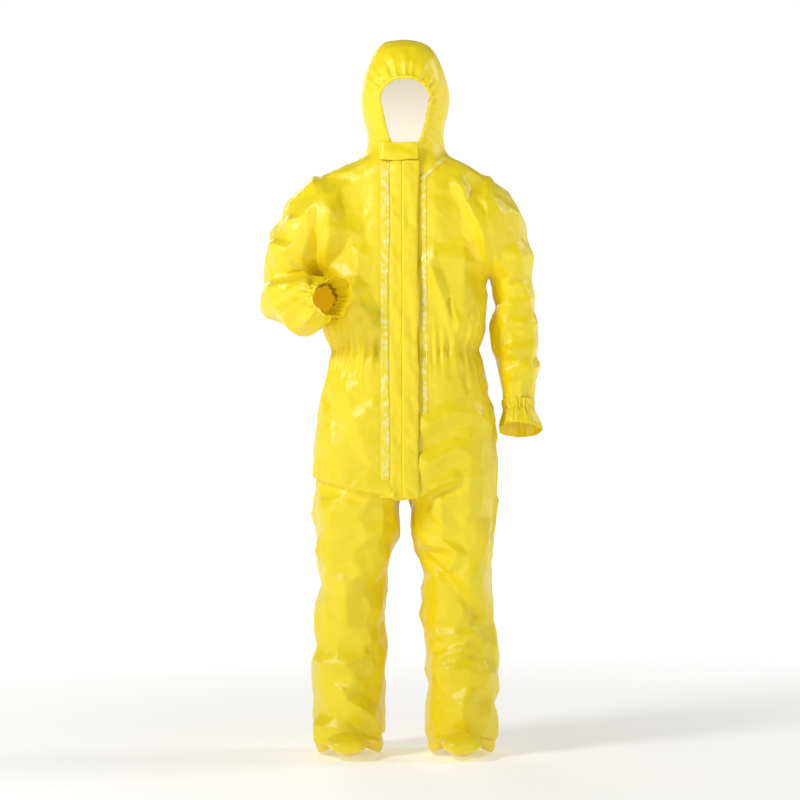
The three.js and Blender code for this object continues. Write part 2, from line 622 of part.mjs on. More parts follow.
const FLAP_UP = 4;
const ZIP_TOP = FLAP_UP + FLAP_LENGTH - 8; // the zip ends under the storm flap
const strip = (x0, x1, out0, out1, up0, up1) => box(x0, x1, -out1, -out0, up0, up1);
const TAPE_OUT = -WALL - GAP;
for (const [word, s] of [
  ["right", -1],
  ["left", 1],
]) {
  const edge = (a, b) => (s < 0 ? [-b, -a] : [a, b]);
  const [t0, t1] = edge(TOOTH_IN, ZIP_TAPE_OUT);
  give(
    `zip_tape_${word}`,
    strip(t0, t1, TAPE_OUT - ZIP_TAPE, TAPE_OUT, ZIP_BOTTOM, ZIP_TOP),
    zipTape,
    placket,
  );
  const [c0, c1] = edge(TOOTH_IN, TOOTH_OUT);
  give(
    `zip_teeth_${word}`,
    strip(c0, c1, TAPE_OUT + GAP, 0.3, ZIP_BOTTOM + 8, ZIP_TOP - 6),
    zipTeeth,
    placket,
  );
  const [p0, p1] = edge(TOOTH_IN, TOOTH_OUT + 0.4);
  give(
    `zip_top_stop_${word}`,
    strip(p0, p1, TAPE_OUT + GAP, 0.6, ZIP_TOP - 5.5, ZIP_TOP - 1),
    sliderPaint,
    placket,
  );
}
give(
  "zip_bottom_stop",
  strip(-4.4, 4.4, TAPE_OUT + GAP, 0.8, ZIP_BOTTOM + 1, ZIP_BOTTOM + 7.5),
  sliderPaint,
  placket,
);

// The slider's plates run in front of and behind the tapes, joined by the bridge between them.
const SLIDER_UP = ZIP_TOP - 6 - SLIDER_LENGTH;
const slider = strip(-6, 6, 0.9, 0.9 + SLIDER_PLATE, 0, SLIDER_LENGTH)
  .add(strip(-6, 6, TAPE_OUT - ZIP_TAPE - 0.6 - SLIDER_PLATE, TAPE_OUT - ZIP_TAPE - 0.6, 0, SLIDER_LENGTH))
  .add(strip(-BRIDGE / 2, BRIDGE / 2, TAPE_OUT - ZIP_TAPE - 1, 1.2, SLIDER_LENGTH - 6, SLIDER_LENGTH - 2))
  .add(strip(-6, -4.6, TAPE_OUT + 0.5, 1.2, 0, SLIDER_LENGTH))
  .add(strip(4.6, 6, TAPE_OUT + 0.5, 1.2, 0, SLIDER_LENGTH))
  .add(strip(-1.2, 1.2, 2.2, PIVOT_OUT + 1.9, SLIDER_LENGTH / 2 - 2.2, SLIDER_LENGTH / 2 + 2.2));
const pin = (radius, half, up) => {
  const geometry = new THREE.CylinderGeometry(radius, radius, 2 * half, 12);
  geometry.rotateZ(Math.PI / 2);
  geometry.translate(0, -PIVOT_OUT, up);
  return solidOf(geometry);
};
const sliderMesh = meshOf("zip_slider", slider.subtract(pin(1.1, 3, SLIDER_LENGTH / 2)), sliderPaint);
sliderMesh.position.z = SLIDER_UP;
placket.add(sliderMesh);

const half = PULLER_WIDTH / 2;
const pullerBack = PIVOT_OUT - PULLER_THICK / 2;
const pullerFront = PIVOT_OUT + PULLER_THICK / 2;
const puller = strip(-half, half, pullerBack, pullerFront, -PULLER_LENGTH, 0)
  .subtract(strip(-1.8, 1.8, 0, 9, -6, 1))
  .add(pin(0.7, half, 0));
const pullerMesh = meshOf("zip_puller", puller, sliderPaint);
pullerMesh.position.z = SLIDER_UP + SLIDER_LENGTH / 2;
placket.add(pullerMesh);

// Behind the zip, sewn in with its right tape.
const GUARD_TOP = ZIP_TOP;
const guard = strip(-36, -19, TAPE_OUT - ZIP_TAPE, TAPE_OUT, ZIP_BOTTOM, GUARD_TOP)
  .add(strip(-22, -19, TAPE_OUT - 6.6, TAPE_OUT, ZIP_BOTTOM, GUARD_TOP))
  .add(strip(-22, 20, TAPE_OUT - 7.8, TAPE_OUT - 6.6, ZIP_BOTTOM, GUARD_TOP));
give("under_flap", guard, lining, placket);

// The storm flap is sewn on along one edge and rises over the zip, whose pull lies under it.
function flapSection() {
  const shape = new THREE.Shape();
  const foot = 0.4;
  shape.moveTo(FLAP_HINGE_X, -foot);
  shape.lineTo(FLAP_HINGE_X, -foot - 2);
  shape.lineTo(FLAP_STEP_X - 2, -foot - 2);
  shape.lineTo(FLAP_STEP_X + 1, -FLAP_RISE - WALL);
  shape.lineTo(FLAP_EDGE_X - 1.5, -FLAP_RISE - WALL);
  shape.lineTo(FLAP_EDGE_X, -FLAP_RISE - WALL + 1.5);
  shape.lineTo(FLAP_EDGE_X, -foot);
  shape.lineTo(FLAP_EDGE_X - WALL, -foot);
  shape.lineTo(FLAP_EDGE_X - WALL, -FLAP_RISE);
  shape.lineTo(FLAP_STEP_X + 3.5, -FLAP_RISE);
  shape.lineTo(FLAP_STEP_X + 1, -foot);
  shape.closePath();
  return shape;
}
const flap = solidOf(new THREE.ExtrudeGeometry(flapSection(), { depth: FLAP_LENGTH, bevelEnabled: false }));
const flapMesh = meshOf("storm_flap", flap, laminate);
flapMesh.position.z = FLAP_UP;
placket.add(flapMesh);
give(
  "flap_adhesive",
  strip(
    FLAP_EDGE_X - 14,
    FLAP_EDGE_X - 5,
    FLAP_RISE - GAP - 0.5,
    FLAP_RISE - GAP,
    FLAP_UP + 10,
    FLAP_UP + FLAP_LENGTH - 10,
  ),
  adhesive,
  placket,
);

export default model;
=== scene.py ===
"""A hooded yellow film-laminate coverall, as worn, with nobody inside."""

import json
import math

import bmesh
import bpy
import numpy as np
from mathutils import Vector, noise
from mathutils.bvhtree import BVHTree
from mathutils.kdtree import KDTree
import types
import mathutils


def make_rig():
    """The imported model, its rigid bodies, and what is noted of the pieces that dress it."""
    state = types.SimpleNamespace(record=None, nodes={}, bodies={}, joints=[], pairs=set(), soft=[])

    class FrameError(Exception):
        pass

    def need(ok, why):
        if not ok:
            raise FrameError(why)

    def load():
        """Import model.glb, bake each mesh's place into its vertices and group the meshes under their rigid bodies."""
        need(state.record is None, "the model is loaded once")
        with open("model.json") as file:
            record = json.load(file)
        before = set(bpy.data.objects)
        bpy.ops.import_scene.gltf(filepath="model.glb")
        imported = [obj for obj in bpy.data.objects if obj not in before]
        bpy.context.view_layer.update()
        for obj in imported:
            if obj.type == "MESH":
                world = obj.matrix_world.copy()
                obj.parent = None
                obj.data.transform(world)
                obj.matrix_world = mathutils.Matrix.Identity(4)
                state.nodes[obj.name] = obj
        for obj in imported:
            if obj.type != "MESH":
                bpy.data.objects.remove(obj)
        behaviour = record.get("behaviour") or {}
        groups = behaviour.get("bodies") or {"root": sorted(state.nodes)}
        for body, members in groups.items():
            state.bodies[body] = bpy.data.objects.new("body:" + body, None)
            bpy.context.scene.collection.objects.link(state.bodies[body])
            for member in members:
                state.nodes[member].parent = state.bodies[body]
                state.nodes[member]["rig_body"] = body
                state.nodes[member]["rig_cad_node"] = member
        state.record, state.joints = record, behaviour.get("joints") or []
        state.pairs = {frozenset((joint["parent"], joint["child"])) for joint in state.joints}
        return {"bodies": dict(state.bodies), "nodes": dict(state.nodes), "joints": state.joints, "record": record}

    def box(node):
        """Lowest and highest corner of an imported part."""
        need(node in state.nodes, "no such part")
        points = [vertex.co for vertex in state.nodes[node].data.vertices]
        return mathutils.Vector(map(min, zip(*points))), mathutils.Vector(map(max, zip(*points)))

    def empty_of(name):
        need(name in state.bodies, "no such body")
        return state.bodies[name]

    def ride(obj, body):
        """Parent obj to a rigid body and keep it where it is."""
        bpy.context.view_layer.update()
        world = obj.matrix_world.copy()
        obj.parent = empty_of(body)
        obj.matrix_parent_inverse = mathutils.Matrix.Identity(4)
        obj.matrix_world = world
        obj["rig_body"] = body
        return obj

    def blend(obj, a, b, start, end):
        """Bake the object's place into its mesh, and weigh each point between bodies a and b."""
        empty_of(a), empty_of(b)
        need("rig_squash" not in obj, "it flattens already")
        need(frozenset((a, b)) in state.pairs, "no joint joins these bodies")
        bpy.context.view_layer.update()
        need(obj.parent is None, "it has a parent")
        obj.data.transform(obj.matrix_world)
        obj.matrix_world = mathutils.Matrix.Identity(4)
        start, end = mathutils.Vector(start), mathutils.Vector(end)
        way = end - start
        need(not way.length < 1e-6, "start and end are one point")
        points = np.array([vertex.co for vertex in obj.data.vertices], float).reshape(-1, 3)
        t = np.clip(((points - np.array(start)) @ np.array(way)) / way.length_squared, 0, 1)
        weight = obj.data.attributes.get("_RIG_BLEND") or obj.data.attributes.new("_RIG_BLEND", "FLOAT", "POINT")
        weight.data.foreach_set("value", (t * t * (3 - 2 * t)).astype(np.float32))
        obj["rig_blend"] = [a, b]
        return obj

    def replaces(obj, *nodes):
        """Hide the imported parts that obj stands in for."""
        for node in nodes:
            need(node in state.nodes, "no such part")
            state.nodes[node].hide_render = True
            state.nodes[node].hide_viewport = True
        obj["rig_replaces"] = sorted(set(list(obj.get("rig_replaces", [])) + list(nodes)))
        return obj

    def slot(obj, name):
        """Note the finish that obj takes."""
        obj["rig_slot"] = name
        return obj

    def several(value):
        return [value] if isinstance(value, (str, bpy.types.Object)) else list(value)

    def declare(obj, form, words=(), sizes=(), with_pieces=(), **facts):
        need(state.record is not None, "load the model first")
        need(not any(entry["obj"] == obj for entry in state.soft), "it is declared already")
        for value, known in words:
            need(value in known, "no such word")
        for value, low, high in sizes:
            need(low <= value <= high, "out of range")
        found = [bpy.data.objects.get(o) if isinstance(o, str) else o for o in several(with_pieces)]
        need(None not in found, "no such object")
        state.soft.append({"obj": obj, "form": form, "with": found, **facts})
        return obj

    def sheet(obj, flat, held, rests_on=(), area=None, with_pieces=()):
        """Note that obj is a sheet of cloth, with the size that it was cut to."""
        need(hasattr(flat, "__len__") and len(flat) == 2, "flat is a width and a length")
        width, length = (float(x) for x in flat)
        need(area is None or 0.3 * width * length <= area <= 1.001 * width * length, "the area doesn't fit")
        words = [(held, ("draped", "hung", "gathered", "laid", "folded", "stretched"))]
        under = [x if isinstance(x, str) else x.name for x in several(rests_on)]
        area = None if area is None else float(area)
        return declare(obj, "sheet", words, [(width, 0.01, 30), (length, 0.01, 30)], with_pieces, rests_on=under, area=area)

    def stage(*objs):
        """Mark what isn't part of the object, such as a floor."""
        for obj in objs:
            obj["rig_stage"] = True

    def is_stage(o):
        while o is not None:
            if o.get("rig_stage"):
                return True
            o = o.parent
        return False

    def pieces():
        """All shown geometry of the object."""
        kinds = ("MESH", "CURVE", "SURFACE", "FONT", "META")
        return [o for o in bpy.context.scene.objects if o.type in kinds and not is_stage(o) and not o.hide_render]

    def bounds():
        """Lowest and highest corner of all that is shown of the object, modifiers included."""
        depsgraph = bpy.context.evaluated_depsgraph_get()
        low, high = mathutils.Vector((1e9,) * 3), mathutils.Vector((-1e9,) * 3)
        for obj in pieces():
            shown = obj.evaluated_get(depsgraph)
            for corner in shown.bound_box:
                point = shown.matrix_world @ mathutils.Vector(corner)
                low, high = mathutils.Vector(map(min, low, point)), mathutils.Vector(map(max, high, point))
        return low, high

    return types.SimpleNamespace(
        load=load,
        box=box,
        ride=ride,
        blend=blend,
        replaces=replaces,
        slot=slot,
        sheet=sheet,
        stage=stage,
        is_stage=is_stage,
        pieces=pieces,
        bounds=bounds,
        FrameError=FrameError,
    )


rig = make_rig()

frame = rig.load()
CAD_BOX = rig.bounds()

# ---- Sizes, in metres from the middle of the collar seam ------------------------------------

SOLE_Z = CAD_BOX[0][2]
CROTCH_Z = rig.box("storm_flap")[0][2] - 0.004
WAIST_Z = sum(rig.box("waist_elastic")[i][2] for i in (0, 1)) / 2
CHIN_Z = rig.box("chin_flap")[1][2] - 0.002
BROW_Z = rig.box("face_elastic_hem")[1][2] - 0.008
WIDEST_Z = CHIN_Z + 0.108
FACE_LOW_Z = CHIN_Z - 0.008
FACE_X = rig.box("face_elastic_hem")[1][0] - 0.008
ARMHOLE_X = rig.box("left_sleeve_upper")[0][0]
HEM_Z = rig.box("left_leg_lower")[0][2] + 0.02
JOINTS = {joint["name"]: joint for joint in frame["joints"]}

SLIT = 0.0135  # half the width between the two edges that the zip joins
SLIT_LOW, SLIT_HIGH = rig.box("zip_tape_left")[0][2] + 0.003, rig.box("zip_tape_left")[1][2] - 0.001
NECK_LOW, NECK_HIGH = 0.006, 0.058  # the neck bends between these heights
LEG_SPLIT = -0.986
KNEE_TOP, KNEE_LOW = -0.988, -1.128  # the knee bends between these heights
HEM_CUT = HEM_Z + 0.006

GRID = 0.0095  # the width of a square of the first, coarse cloth
FILM = 0.0008  # the laminate with its nonwoven backing, drawn thick enough to hold a shape


# ---- Mesh helpers ---------------------------------------------------------------------------


def to_object(bm, name):
    """The bmesh as a new object at the origin."""
    mesh = bpy.data.meshes.new(name)
    bm.to_mesh(mesh)
    bm.free()
    piece = bpy.data.objects.new(name, mesh)
    bpy.context.collection.objects.link(piece)
    return piece


def apply_modifiers(piece):
    """Turns what the piece's modifiers show into its mesh."""
    depsgraph = bpy.context.evaluated_depsgraph_get()
    made = bpy.data.meshes.new_from_object(piece.evaluated_get(depsgraph))
    piece.modifiers.clear()
    piece.data = made


def edges_of(verts):
    """The edges at the vertices, each once and always in the same order."""
    return list(dict.fromkeys(edge for vert in verts for edge in vert.link_edges))


def shade_smooth(piece):
    """Shades every face smoothly."""
    piece.data.polygons.foreach_set("use_smooth", [True] * len(piece.data.polygons))


def coordinates(mesh):
    """The mesh's points, one row each."""
    values = np.empty(len(mesh.vertices) * 3)
    mesh.vertices.foreach_get("co", values)
    return values.reshape(-1, 3)


def put_coordinates(mesh, values):
    """Moves the mesh's points to the values."""
    mesh.vertices.foreach_set("co", np.asarray(values, float).ravel())
    mesh.update()


def smoothstep(low, high, value):
    """0 before low, 1 past high, and smooth between them. low may be the greater."""
    t = np.clip((np.asarray(value, float) - low) / (high - low), 0, 1)
    return t * t * (3 - 2 * t)


# ---- The worn shape, before any fold ----------------------------------------------------------


def level(z, half, front, back, x=0.0, power=2.0):
    """A level ring from its half width and its front and back, forward being negative."""
    middle = Vector((x, (front + back) / 2, z))
    return middle, Vector((1, 0, 0)), Vector((0, 1, 0)), half, (back - front) / 2, power


def across(at, along, half, deep, side=(1, 0, 0)):
    """A ring square to the way a tube runs. half is measured towards side."""
    along = Vector(along).normalized()
    u = Vector(side) - along * along.dot(Vector(side))
    u.normalize()
    return Vector(at), u, along.cross(u), half, deep, 2.0


def loft(bm, rings, sides=40):
    """A closed tube through the rings."""
    loops = []
    for middle, u, v, half, deep, power in rings:
        made = bmesh.ops.create_circle(bm, segments=sides, radius=1)["verts"]
        for vert in made:
            a, b = vert.co.x, vert.co.y
            a = math.copysign(abs(a) ** (2 / power), a) * half
            b = math.copysign(abs(b) ** (2 / power), b) * deep
            vert.co = middle + u * a + v * b
        loops.append(edges_of(made))
    for lower, upper in zip(loops, loops[1:]):
        bmesh.ops.bridge_loops(bm, edges=lower + upper)
    for end in (loops[0], loops[-1]):
        bmesh.ops.contextual_create(bm, geom=end)


def front_at(z):
    """How far forward the front closure lies, which leans back towards the chin."""
    return -0.154 + 0.055 * (z - CROTCH_Z) / (CHIN_Z - CROTCH_Z)


TORSO = [
    (CROTCH_Z + 0.004, 0.206, 0.112, 2.5),
    (CROTCH_Z + 0.04, 0.229, 0.130, 2.6),
    (CROTCH_Z + 0.15, 0.230, 0.138, 2.6),
    (CROTCH_Z + 0.23, 0.224, 0.139, 2.5),
    (WAIST_Z - 0.06, 0.206, 0.130, 2.4),
    (WAIST_Z, 0.189, 0.112, 2.3),
    (WAIST_Z + 0.055, 0.208, 0.122, 2.3),
    (-0.34, 0.206, 0.134, 2.5),
    (-0.26, 0.208, 0.138, 2.8),
    (-0.16, 0.211, 0.137, 3.0),
    (-0.09, 0.212, 0.126, 2.8),
    (-0.05, 0.211, 0.116, 2.5),
    (-0.030, 0.205, 0.108, 2.3),
    (-0.018, 0.182, 0.100, 2.1),
    (-0.006, 0.154, 0.096, 2.0),
    (0.004, 0.124, 0.092, 2.0),
    (0.014, 0.106, 0.089, 2.0),
    (0.030, 0.098, 0.087, 2.0),
]
HOOD = [
    (-0.03, 0.104, -0.098, 0.092, 2.0),
    (0.02, 0.098, -0.099, 0.087, 2.0),
    (0.06, 0.098, -0.104, 0.094, 2.0),
    (0.085, 0.101, -0.109, 0.104, 2.0),
    (0.11, 0.108, -0.115, 0.116, 2.1),
    (0.135, 0.114, -0.120, 0.126, 2.2),
    (0.165, 0.115, -0.124, 0.133, 2.2),
    (0.195, 0.110, -0.125, 0.135, 2.3),
    (0.225, 0.100, -0.120, 0.130, 2.4),
    (0.25, 0.089, -0.112, 0.120, 2.5),
    (0.272, 0.079, -0.100, 0.106, 2.5),
    (0.290, 0.068, -0.084, 0.090, 2.5),
    (0.301, 0.052, -0.060, 0.066, 2.4),
    (0.3045, 0.030, -0.034, 0.038, 2.2),
]
# For the left leg: height, middle, half width, front, back
LEG = [
    (CROTCH_Z + 0.05, 0.116, 0.110, -0.140, 0.126),
    (CROTCH_Z - 0.02, 0.121, 0.111, -0.142, 0.124),
    (CROTCH_Z - 0.08, 0.124, 0.109, -0.130, 0.118),
    (-1.00, 0.130, 0.095, -0.118, 0.113),
    (-1.08, 0.132, 0.091, -0.112, 0.110),
    (-1.16, 0.133, 0.090, -0.108, 0.110),
    (-1.25, 0.142, 0.091, -0.104, 0.117),
    (-1.34, 0.146, 0.092, -0.104, 0.122),
    (-1.42, 0.144, 0.090, -0.114, 0.116),
    (-1.455, 0.142, 0.090, -0.122, 0.112),
    (HEM_Z - 0.004, 0.141, 0.082, -0.116, 0.102),
]
SHOULDER_Y = 0.006
SHOULDER_Z = JOINTS["left_shoulder"]["pos_m"][2]
ARMHOLE_R = 0.130
DOME = [(-0.09, 0.0, 0.100), (-0.012, 0.0, ARMHOLE_R), (0.010, 0.0, ARMHOLE_R)]
LEFT_DOME = [
    (0.042, -0.008, 0.112),
    (0.074, -0.026, 0.084),
    (0.098, -0.044, 0.050),
    (0.106, -0.048, 0.026),
]
RIGHT_DOME = [
    (0.042, -0.006, 0.114),
    (0.080, -0.020, 0.092),
    (0.114, -0.036, 0.060),
    (0.130, -0.042, 0.030),
]
STUB = [(0.030, 0.0, 0.10)]

LEFT_ELBOW = Vector(JOINTS["left_elbow"]["pos_m"])
RIGHT_ELBOW = Vector(JOINTS["right_elbow"]["pos_m"])
RIGHT_UPPER = Vector((-0.1, 0.03, -1)).normalized()
RIGHT_FORE = Vector((0.48, -0.875, 0.05)).normalized()
SAG = Vector((0, 0, 1))  # sagging cloth moves against this
RIGHT_CROOK = (RIGHT_FORE - RIGHT_UPPER).normalized()
LEFT_FORE = Vector((0.06, -0.12, -1)).normalized()
LEFT_WRIST = LEFT_ELBOW + Vector((0.013, -0.012, -0.213)) + LEFT_FORE * 0.03
RIGHT_WRIST = RIGHT_ELBOW + RIGHT_FORE * 0.212
CUFF = [(0.0, 0.035, 0.037), (0.02, 0.042, 0.042), (0.048, 0.050, 0.047)]


def dome(side, steps):
    """Rings out from the armhole, along the line that the shoulder turns about."""
    return [
        across((side * (ARMHOLE_X + x), SHOULDER_Y, SHOULDER_Z + z), (side, 0, 0), r, r, (0, 0, 1))
        for x, z, r in DOME + steps
    ]


def body_shape(bm):
    """The trunk with its hood and legs, closed at every opening."""
    loft(bm, [level(z, half, front_at(z), back, power=power) for z, half, back, power in TORSO], 56)
    loft(bm, [level(z, half, front, back, power=power) for z, half, front, back, power in HOOD])
    for side in (-1, 1):
        loft(bm, [level(z, half, front, back, side * x, 2.2) for z, x, half, front, back in LEG])
        loft(bm, dome(side, STUB), 56)


def left_shape(bm):
    loft(bm, dome(1, LEFT_DOME), 56)
    loft(bm, left_sleeve())


def right_shape(bm):
    loft(bm, dome(-1, RIGHT_DOME), 56)
    loft(bm, right_sleeve())


def left_sleeve():
    """Rings from inside the shoulder to past the cuff's mouth."""
    e = LEFT_ELBOW
    rings = [
        across((0.262, 0.006, e.z + 0.165), (0.1, 0, -1), 0.050, 0.100),
        across((0.270, 0.006, e.z + 0.118), (0.1, 0, -1), 0.055, 0.088),
        across(e + Vector((0.002, 0, 0.062)), (0.05, 0, -1), 0.056, 0.072),
        across(e, (0.03, 0, -1), 0.057, 0.060),
        across(e + Vector((0.006, -0.002, -0.07)), (0.04, -0.03, -1), 0.055, 0.058),
        across(e + Vector((0.009, -0.005, -0.15)), (0.05, -0.06, -1), 0.052, 0.055),
        across(e + Vector((0.013, -0.012, -0.213)), LEFT_FORE, 0.049, 0.050),
    ]
    return rings + [across(LEFT_WRIST + LEFT_FORE * d, LEFT_FORE, a, b) for d, a, b in CUFF]


def right_sleeve():
    """The bent arm: its forearm comes forwards."""
    e = RIGHT_ELBOW
    bend = (RIGHT_UPPER + RIGHT_FORE).normalized()
    out = (-1, 0, 0)
    rings = [
        across((-0.284, 0.006, SHOULDER_Z - 0.052), RIGHT_UPPER, 0.062, 0.104, out),
        across(e - RIGHT_UPPER * 0.09, RIGHT_UPPER, 0.067, 0.088, out),
        across(e + RIGHT_CROOK * 0.020, bend, 0.073, 0.090, out),
        across(e + RIGHT_FORE * 0.10 - SAG * 0.013, RIGHT_FORE, 0.068, 0.077, out),
        across(e + RIGHT_FORE * 0.180 - SAG * 0.010, RIGHT_FORE, 0.060, 0.066, out),
    ]
    return rings + [across(RIGHT_WRIST + RIGHT_FORE * d, RIGHT_FORE, a, b, out) for d, a, b in CUFF]


def first_cloth(make, name):
    """A worn shape as one even grid of squares, smoothed where its tubes meet."""
    bm = bmesh.new()
    make(bm)
    bmesh.ops.recalc_face_normals(bm, faces=bm.faces)
    piece = to_object(bm, name)
    remesh = piece.modifiers.new("even", "REMESH")
    remesh.mode = "VOXEL"
    remesh.voxel_size = GRID
    smooth = piece.modifiers.new("smooth", "SMOOTH")
    smooth.factor = 0.5
    smooth.iterations = 8
    finer = piece.modifiers.new("finer", "SUBSURF")
    finer.levels = finer.render_levels = 1
    apply_modifiers(piece)
    cut_armholes(piece)
    return piece


def cut_by_plane(bm, faces, at, way):
    """Splits the faces where the plane through at crosses them."""
    edges = list(dict.fromkeys(e for f in faces for e in f.edges))
    verts = list(dict.fromkeys(v for f in faces for v in f.verts))
    bmesh.ops.bisect_plane(bm, geom=faces + edges + verts, dist=1e-6, plane_co=at, plane_no=way)


def from_axis(face):
    """How far a face is from the line that the shoulders turn about."""
    middle = face.calc_center_median()
    return math.hypot(middle.y - SHOULDER_Y, middle.z - SHOULDER_Z)


def cut_armholes(piece):
    """Ends the cloth on the armhole's circle, on the side that holds the trunk or the sleeve."""
    bm = bmesh.new()
    bm.from_mesh(piece.data)
    sides = {"left_sleeve": (1,), "right_sleeve": (-1,)}.get(piece.name, (-1, 1))
    inwards = piece.name != "body"
    for side in sides:
        near_it = [f for f in bm.faces if side * f.calc_center_median().x > 0.17 and from_axis(f) < 0.147]
        cut_by_plane(bm, near_it, (side * ARMHOLE_X, 0, 0), (side, 0, 0))
        gone = [
            f
            for f in bm.faces
            if (side * f.calc_center_median().x < ARMHOLE_X - 1e-5) == inwards and from_axis(f) < 0.145
        ]
        bmesh.ops.delete(bm, geom=gone, context="FACES")
        rim = {}
        for vert in bm.verts:
            reach = Vector((vert.co.y - SHOULDER_Y, vert.co.z - SHOULDER_Z))
            if vert.is_boundary and abs(vert.co.x - side * ARMHOLE_X) < 1e-4 and reach.length > 0.05:
                rim[vert] = reach * (ARMHOLE_R / reach.length - 1)
        tree = KDTree(len(rim))
        shifts = list(rim.values())
        for index, vert in enumerate(rim):
            tree.insert(vert.co, index)
        tree.balance()
        for vert in bm.verts:
            _, index, far = tree.find(vert.co)
            if far < 0.04:
                share = (1 - far / 0.04) ** 2 * (1 + 2 * far / 0.04)
                vert.co += Vector((0, shifts[index].x, shifts[index].y)) * share
    if piece.name == "body":
        sides_and_ends = (
            ((-SLIT, 0, 0), (1, 0, 0)),
            ((SLIT, 0, 0), (1, 0, 0)),
            ((0, 0, SLIT_LOW), (0, 0, 1)),
            ((0, 0, SLIT_HIGH), (0, 0, 1)),
        )
        for at, way in sides_and_ends:
            cut_by_plane(bm, [f for f in bm.faces if slit_face(f.calc_center_median())], at, way)
    bm.to_mesh(piece.data)
    bm.free()


def slit_face(at):
    """Whether a face is near the slit that the zip closes."""
    return abs(at.x) < SLIT + 0.012 and SLIT_LOW - 0.012 < at.z < SLIT_HIGH + 0.012 and at.y < -0.05


# ---- Studio -----------------------------------------------------------------------------------


def studio():
    """A pale floor, soft light from the left, a bright horizon, and the camera."""
    bm = bmesh.new()
    verts = bmesh.ops.create_grid(bm, x_segments=1, y_segments=1, size=40)["verts"]
    bmesh.ops.translate(bm, verts=verts, vec=(0, 0, SOLE_Z - 0.001))
    floor = to_object(bm, "floor")
    pale = plain("pale_floor", "F4F4F4", 0.9)
    glowing(pale, (1, 1, 1), 1)
    place = add(pale, "ShaderNodeTexCoord").outputs["Object"]
    far = add(pale, "ShaderNodeVectorMath", [(0, place)], operation="LENGTH")
    links = [("Value", far.outputs["Value"])]
    rise = add(pale, "ShaderNodeMapRange", links, From_Min=1.6, From_Max=6.0, To_Min=0.3, To_Max=0.97)
    shader = pale.node_tree.nodes["Principled BSDF"]
    pale.node_tree.links.new(rise.outputs[0], shader.inputs["Emission Strength"])
    floor.data.materials.append(pale)
    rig.stage(floor)
    camera = bpy.data.objects.new("camera", bpy.data.cameras.new("camera"))
    camera.location = (-0.0127, -6.5, -0.603)
    camera.rotation_euler = (math.pi / 2, 0, 0)
    camera.data.lens = 36 * 6.5 / 2.028
    bpy.context.collection.objects.link(camera)
    bpy.context.scene.camera = camera
    for name, at, size, power in (
        ("key", (-3.0, -2.6, 1.9), 1.0, 97),
        ("front", (0.4, -5.0, 0.8), 2.4, 12),
        ("rim", (3.2, 0.6, 1.6), 1.2, 34),
        ("back", (-1.6, 4.6, 1.4), 2.0, 42),
    ):
        light = bpy.data.lights.new(name, "AREA")
        light.energy = power
        light.size = size
        lamp = bpy.data.objects.new(name, light)
        lamp.location = at
        lamp.rotation_euler = (Vector((0, 0, -0.6)) - Vector(at)).to_track_quat("-Z", "Y").to_euler()
        bpy.context.collection.objects.link(lamp)
    world = bpy.data.worlds.new("studio")
    world.use_nodes = True
    towards = add(world, "ShaderNodeTexCoord").outputs["Generated"]
    split = add(world, "ShaderNodeSeparateXYZ", [(0, towards)])
    lift = add(world, "ShaderNodeMath", [(0, split.outputs["Z"])], operation="ABSOLUTE")
    links = [("Value", lift.outputs[0])]
    fall = add(world, "ShaderNodeMapRange", links, From_Min=0.16, From_Max=0.34, To_Min=1.0, To_Max=0.16)
    background = world.node_tree.nodes["Background"]
    world.node_tree.links.new(fall.outputs[0], background.inputs["Strength"])
    background.inputs["Color"].default_value = (1, 1, 1, 1)
    bpy.context.scene.world = world
    bpy.context.scene.view_settings.view_transform = "Standard"


# ---- Folds --------------------------------------------------------------------------------------


def smooth_noise(points, scale, seed=0.0):
    """Perlin noise from -1 to 1 at each point. scale is one number or one for each axis."""
    at = np.asarray(points) * np.asarray(scale) + seed
    return np.array([noise.noise(Vector(q)) for q in at])


def along_normals(piece):
    """The piece's points and the outward direction at each."""
    mesh = piece.data
    normals = np.empty(len(mesh.vertices) * 3)
    mesh.vertex_normals.foreach_get("vector", normals)
    return coordinates(mesh), normals.reshape(-1, 3)


def nearest(points, mesh):
    """The nearest place on the mesh to each point."""
    bm = bmesh.new()
    bm.from_mesh(mesh)
    tree = BVHTree.FromBMesh(bm)
    bm.free()
    return np.array([tree.find_nearest(Vector(q))[0] for q in points])


def flatten_to_facets(piece, triangles, strength):
    """Creases the cloth: its surface moves towards flat facets, about as many as triangles says."""
    copy = piece.copy()
    copy.data = piece.data.copy()
    bpy.context.collection.objects.link(copy)
    few = copy.modifiers.new("few", "DECIMATE")
    few.ratio = triangles / (2 * len(piece.data.polygons))
    apply_modifiers(copy)
    p = coordinates(piece.data)
    flat = nearest(p, copy.data)
    put_coordinates(piece.data, p + (flat - p) * strength[:, None])
    bpy.data.objects.remove(copy)


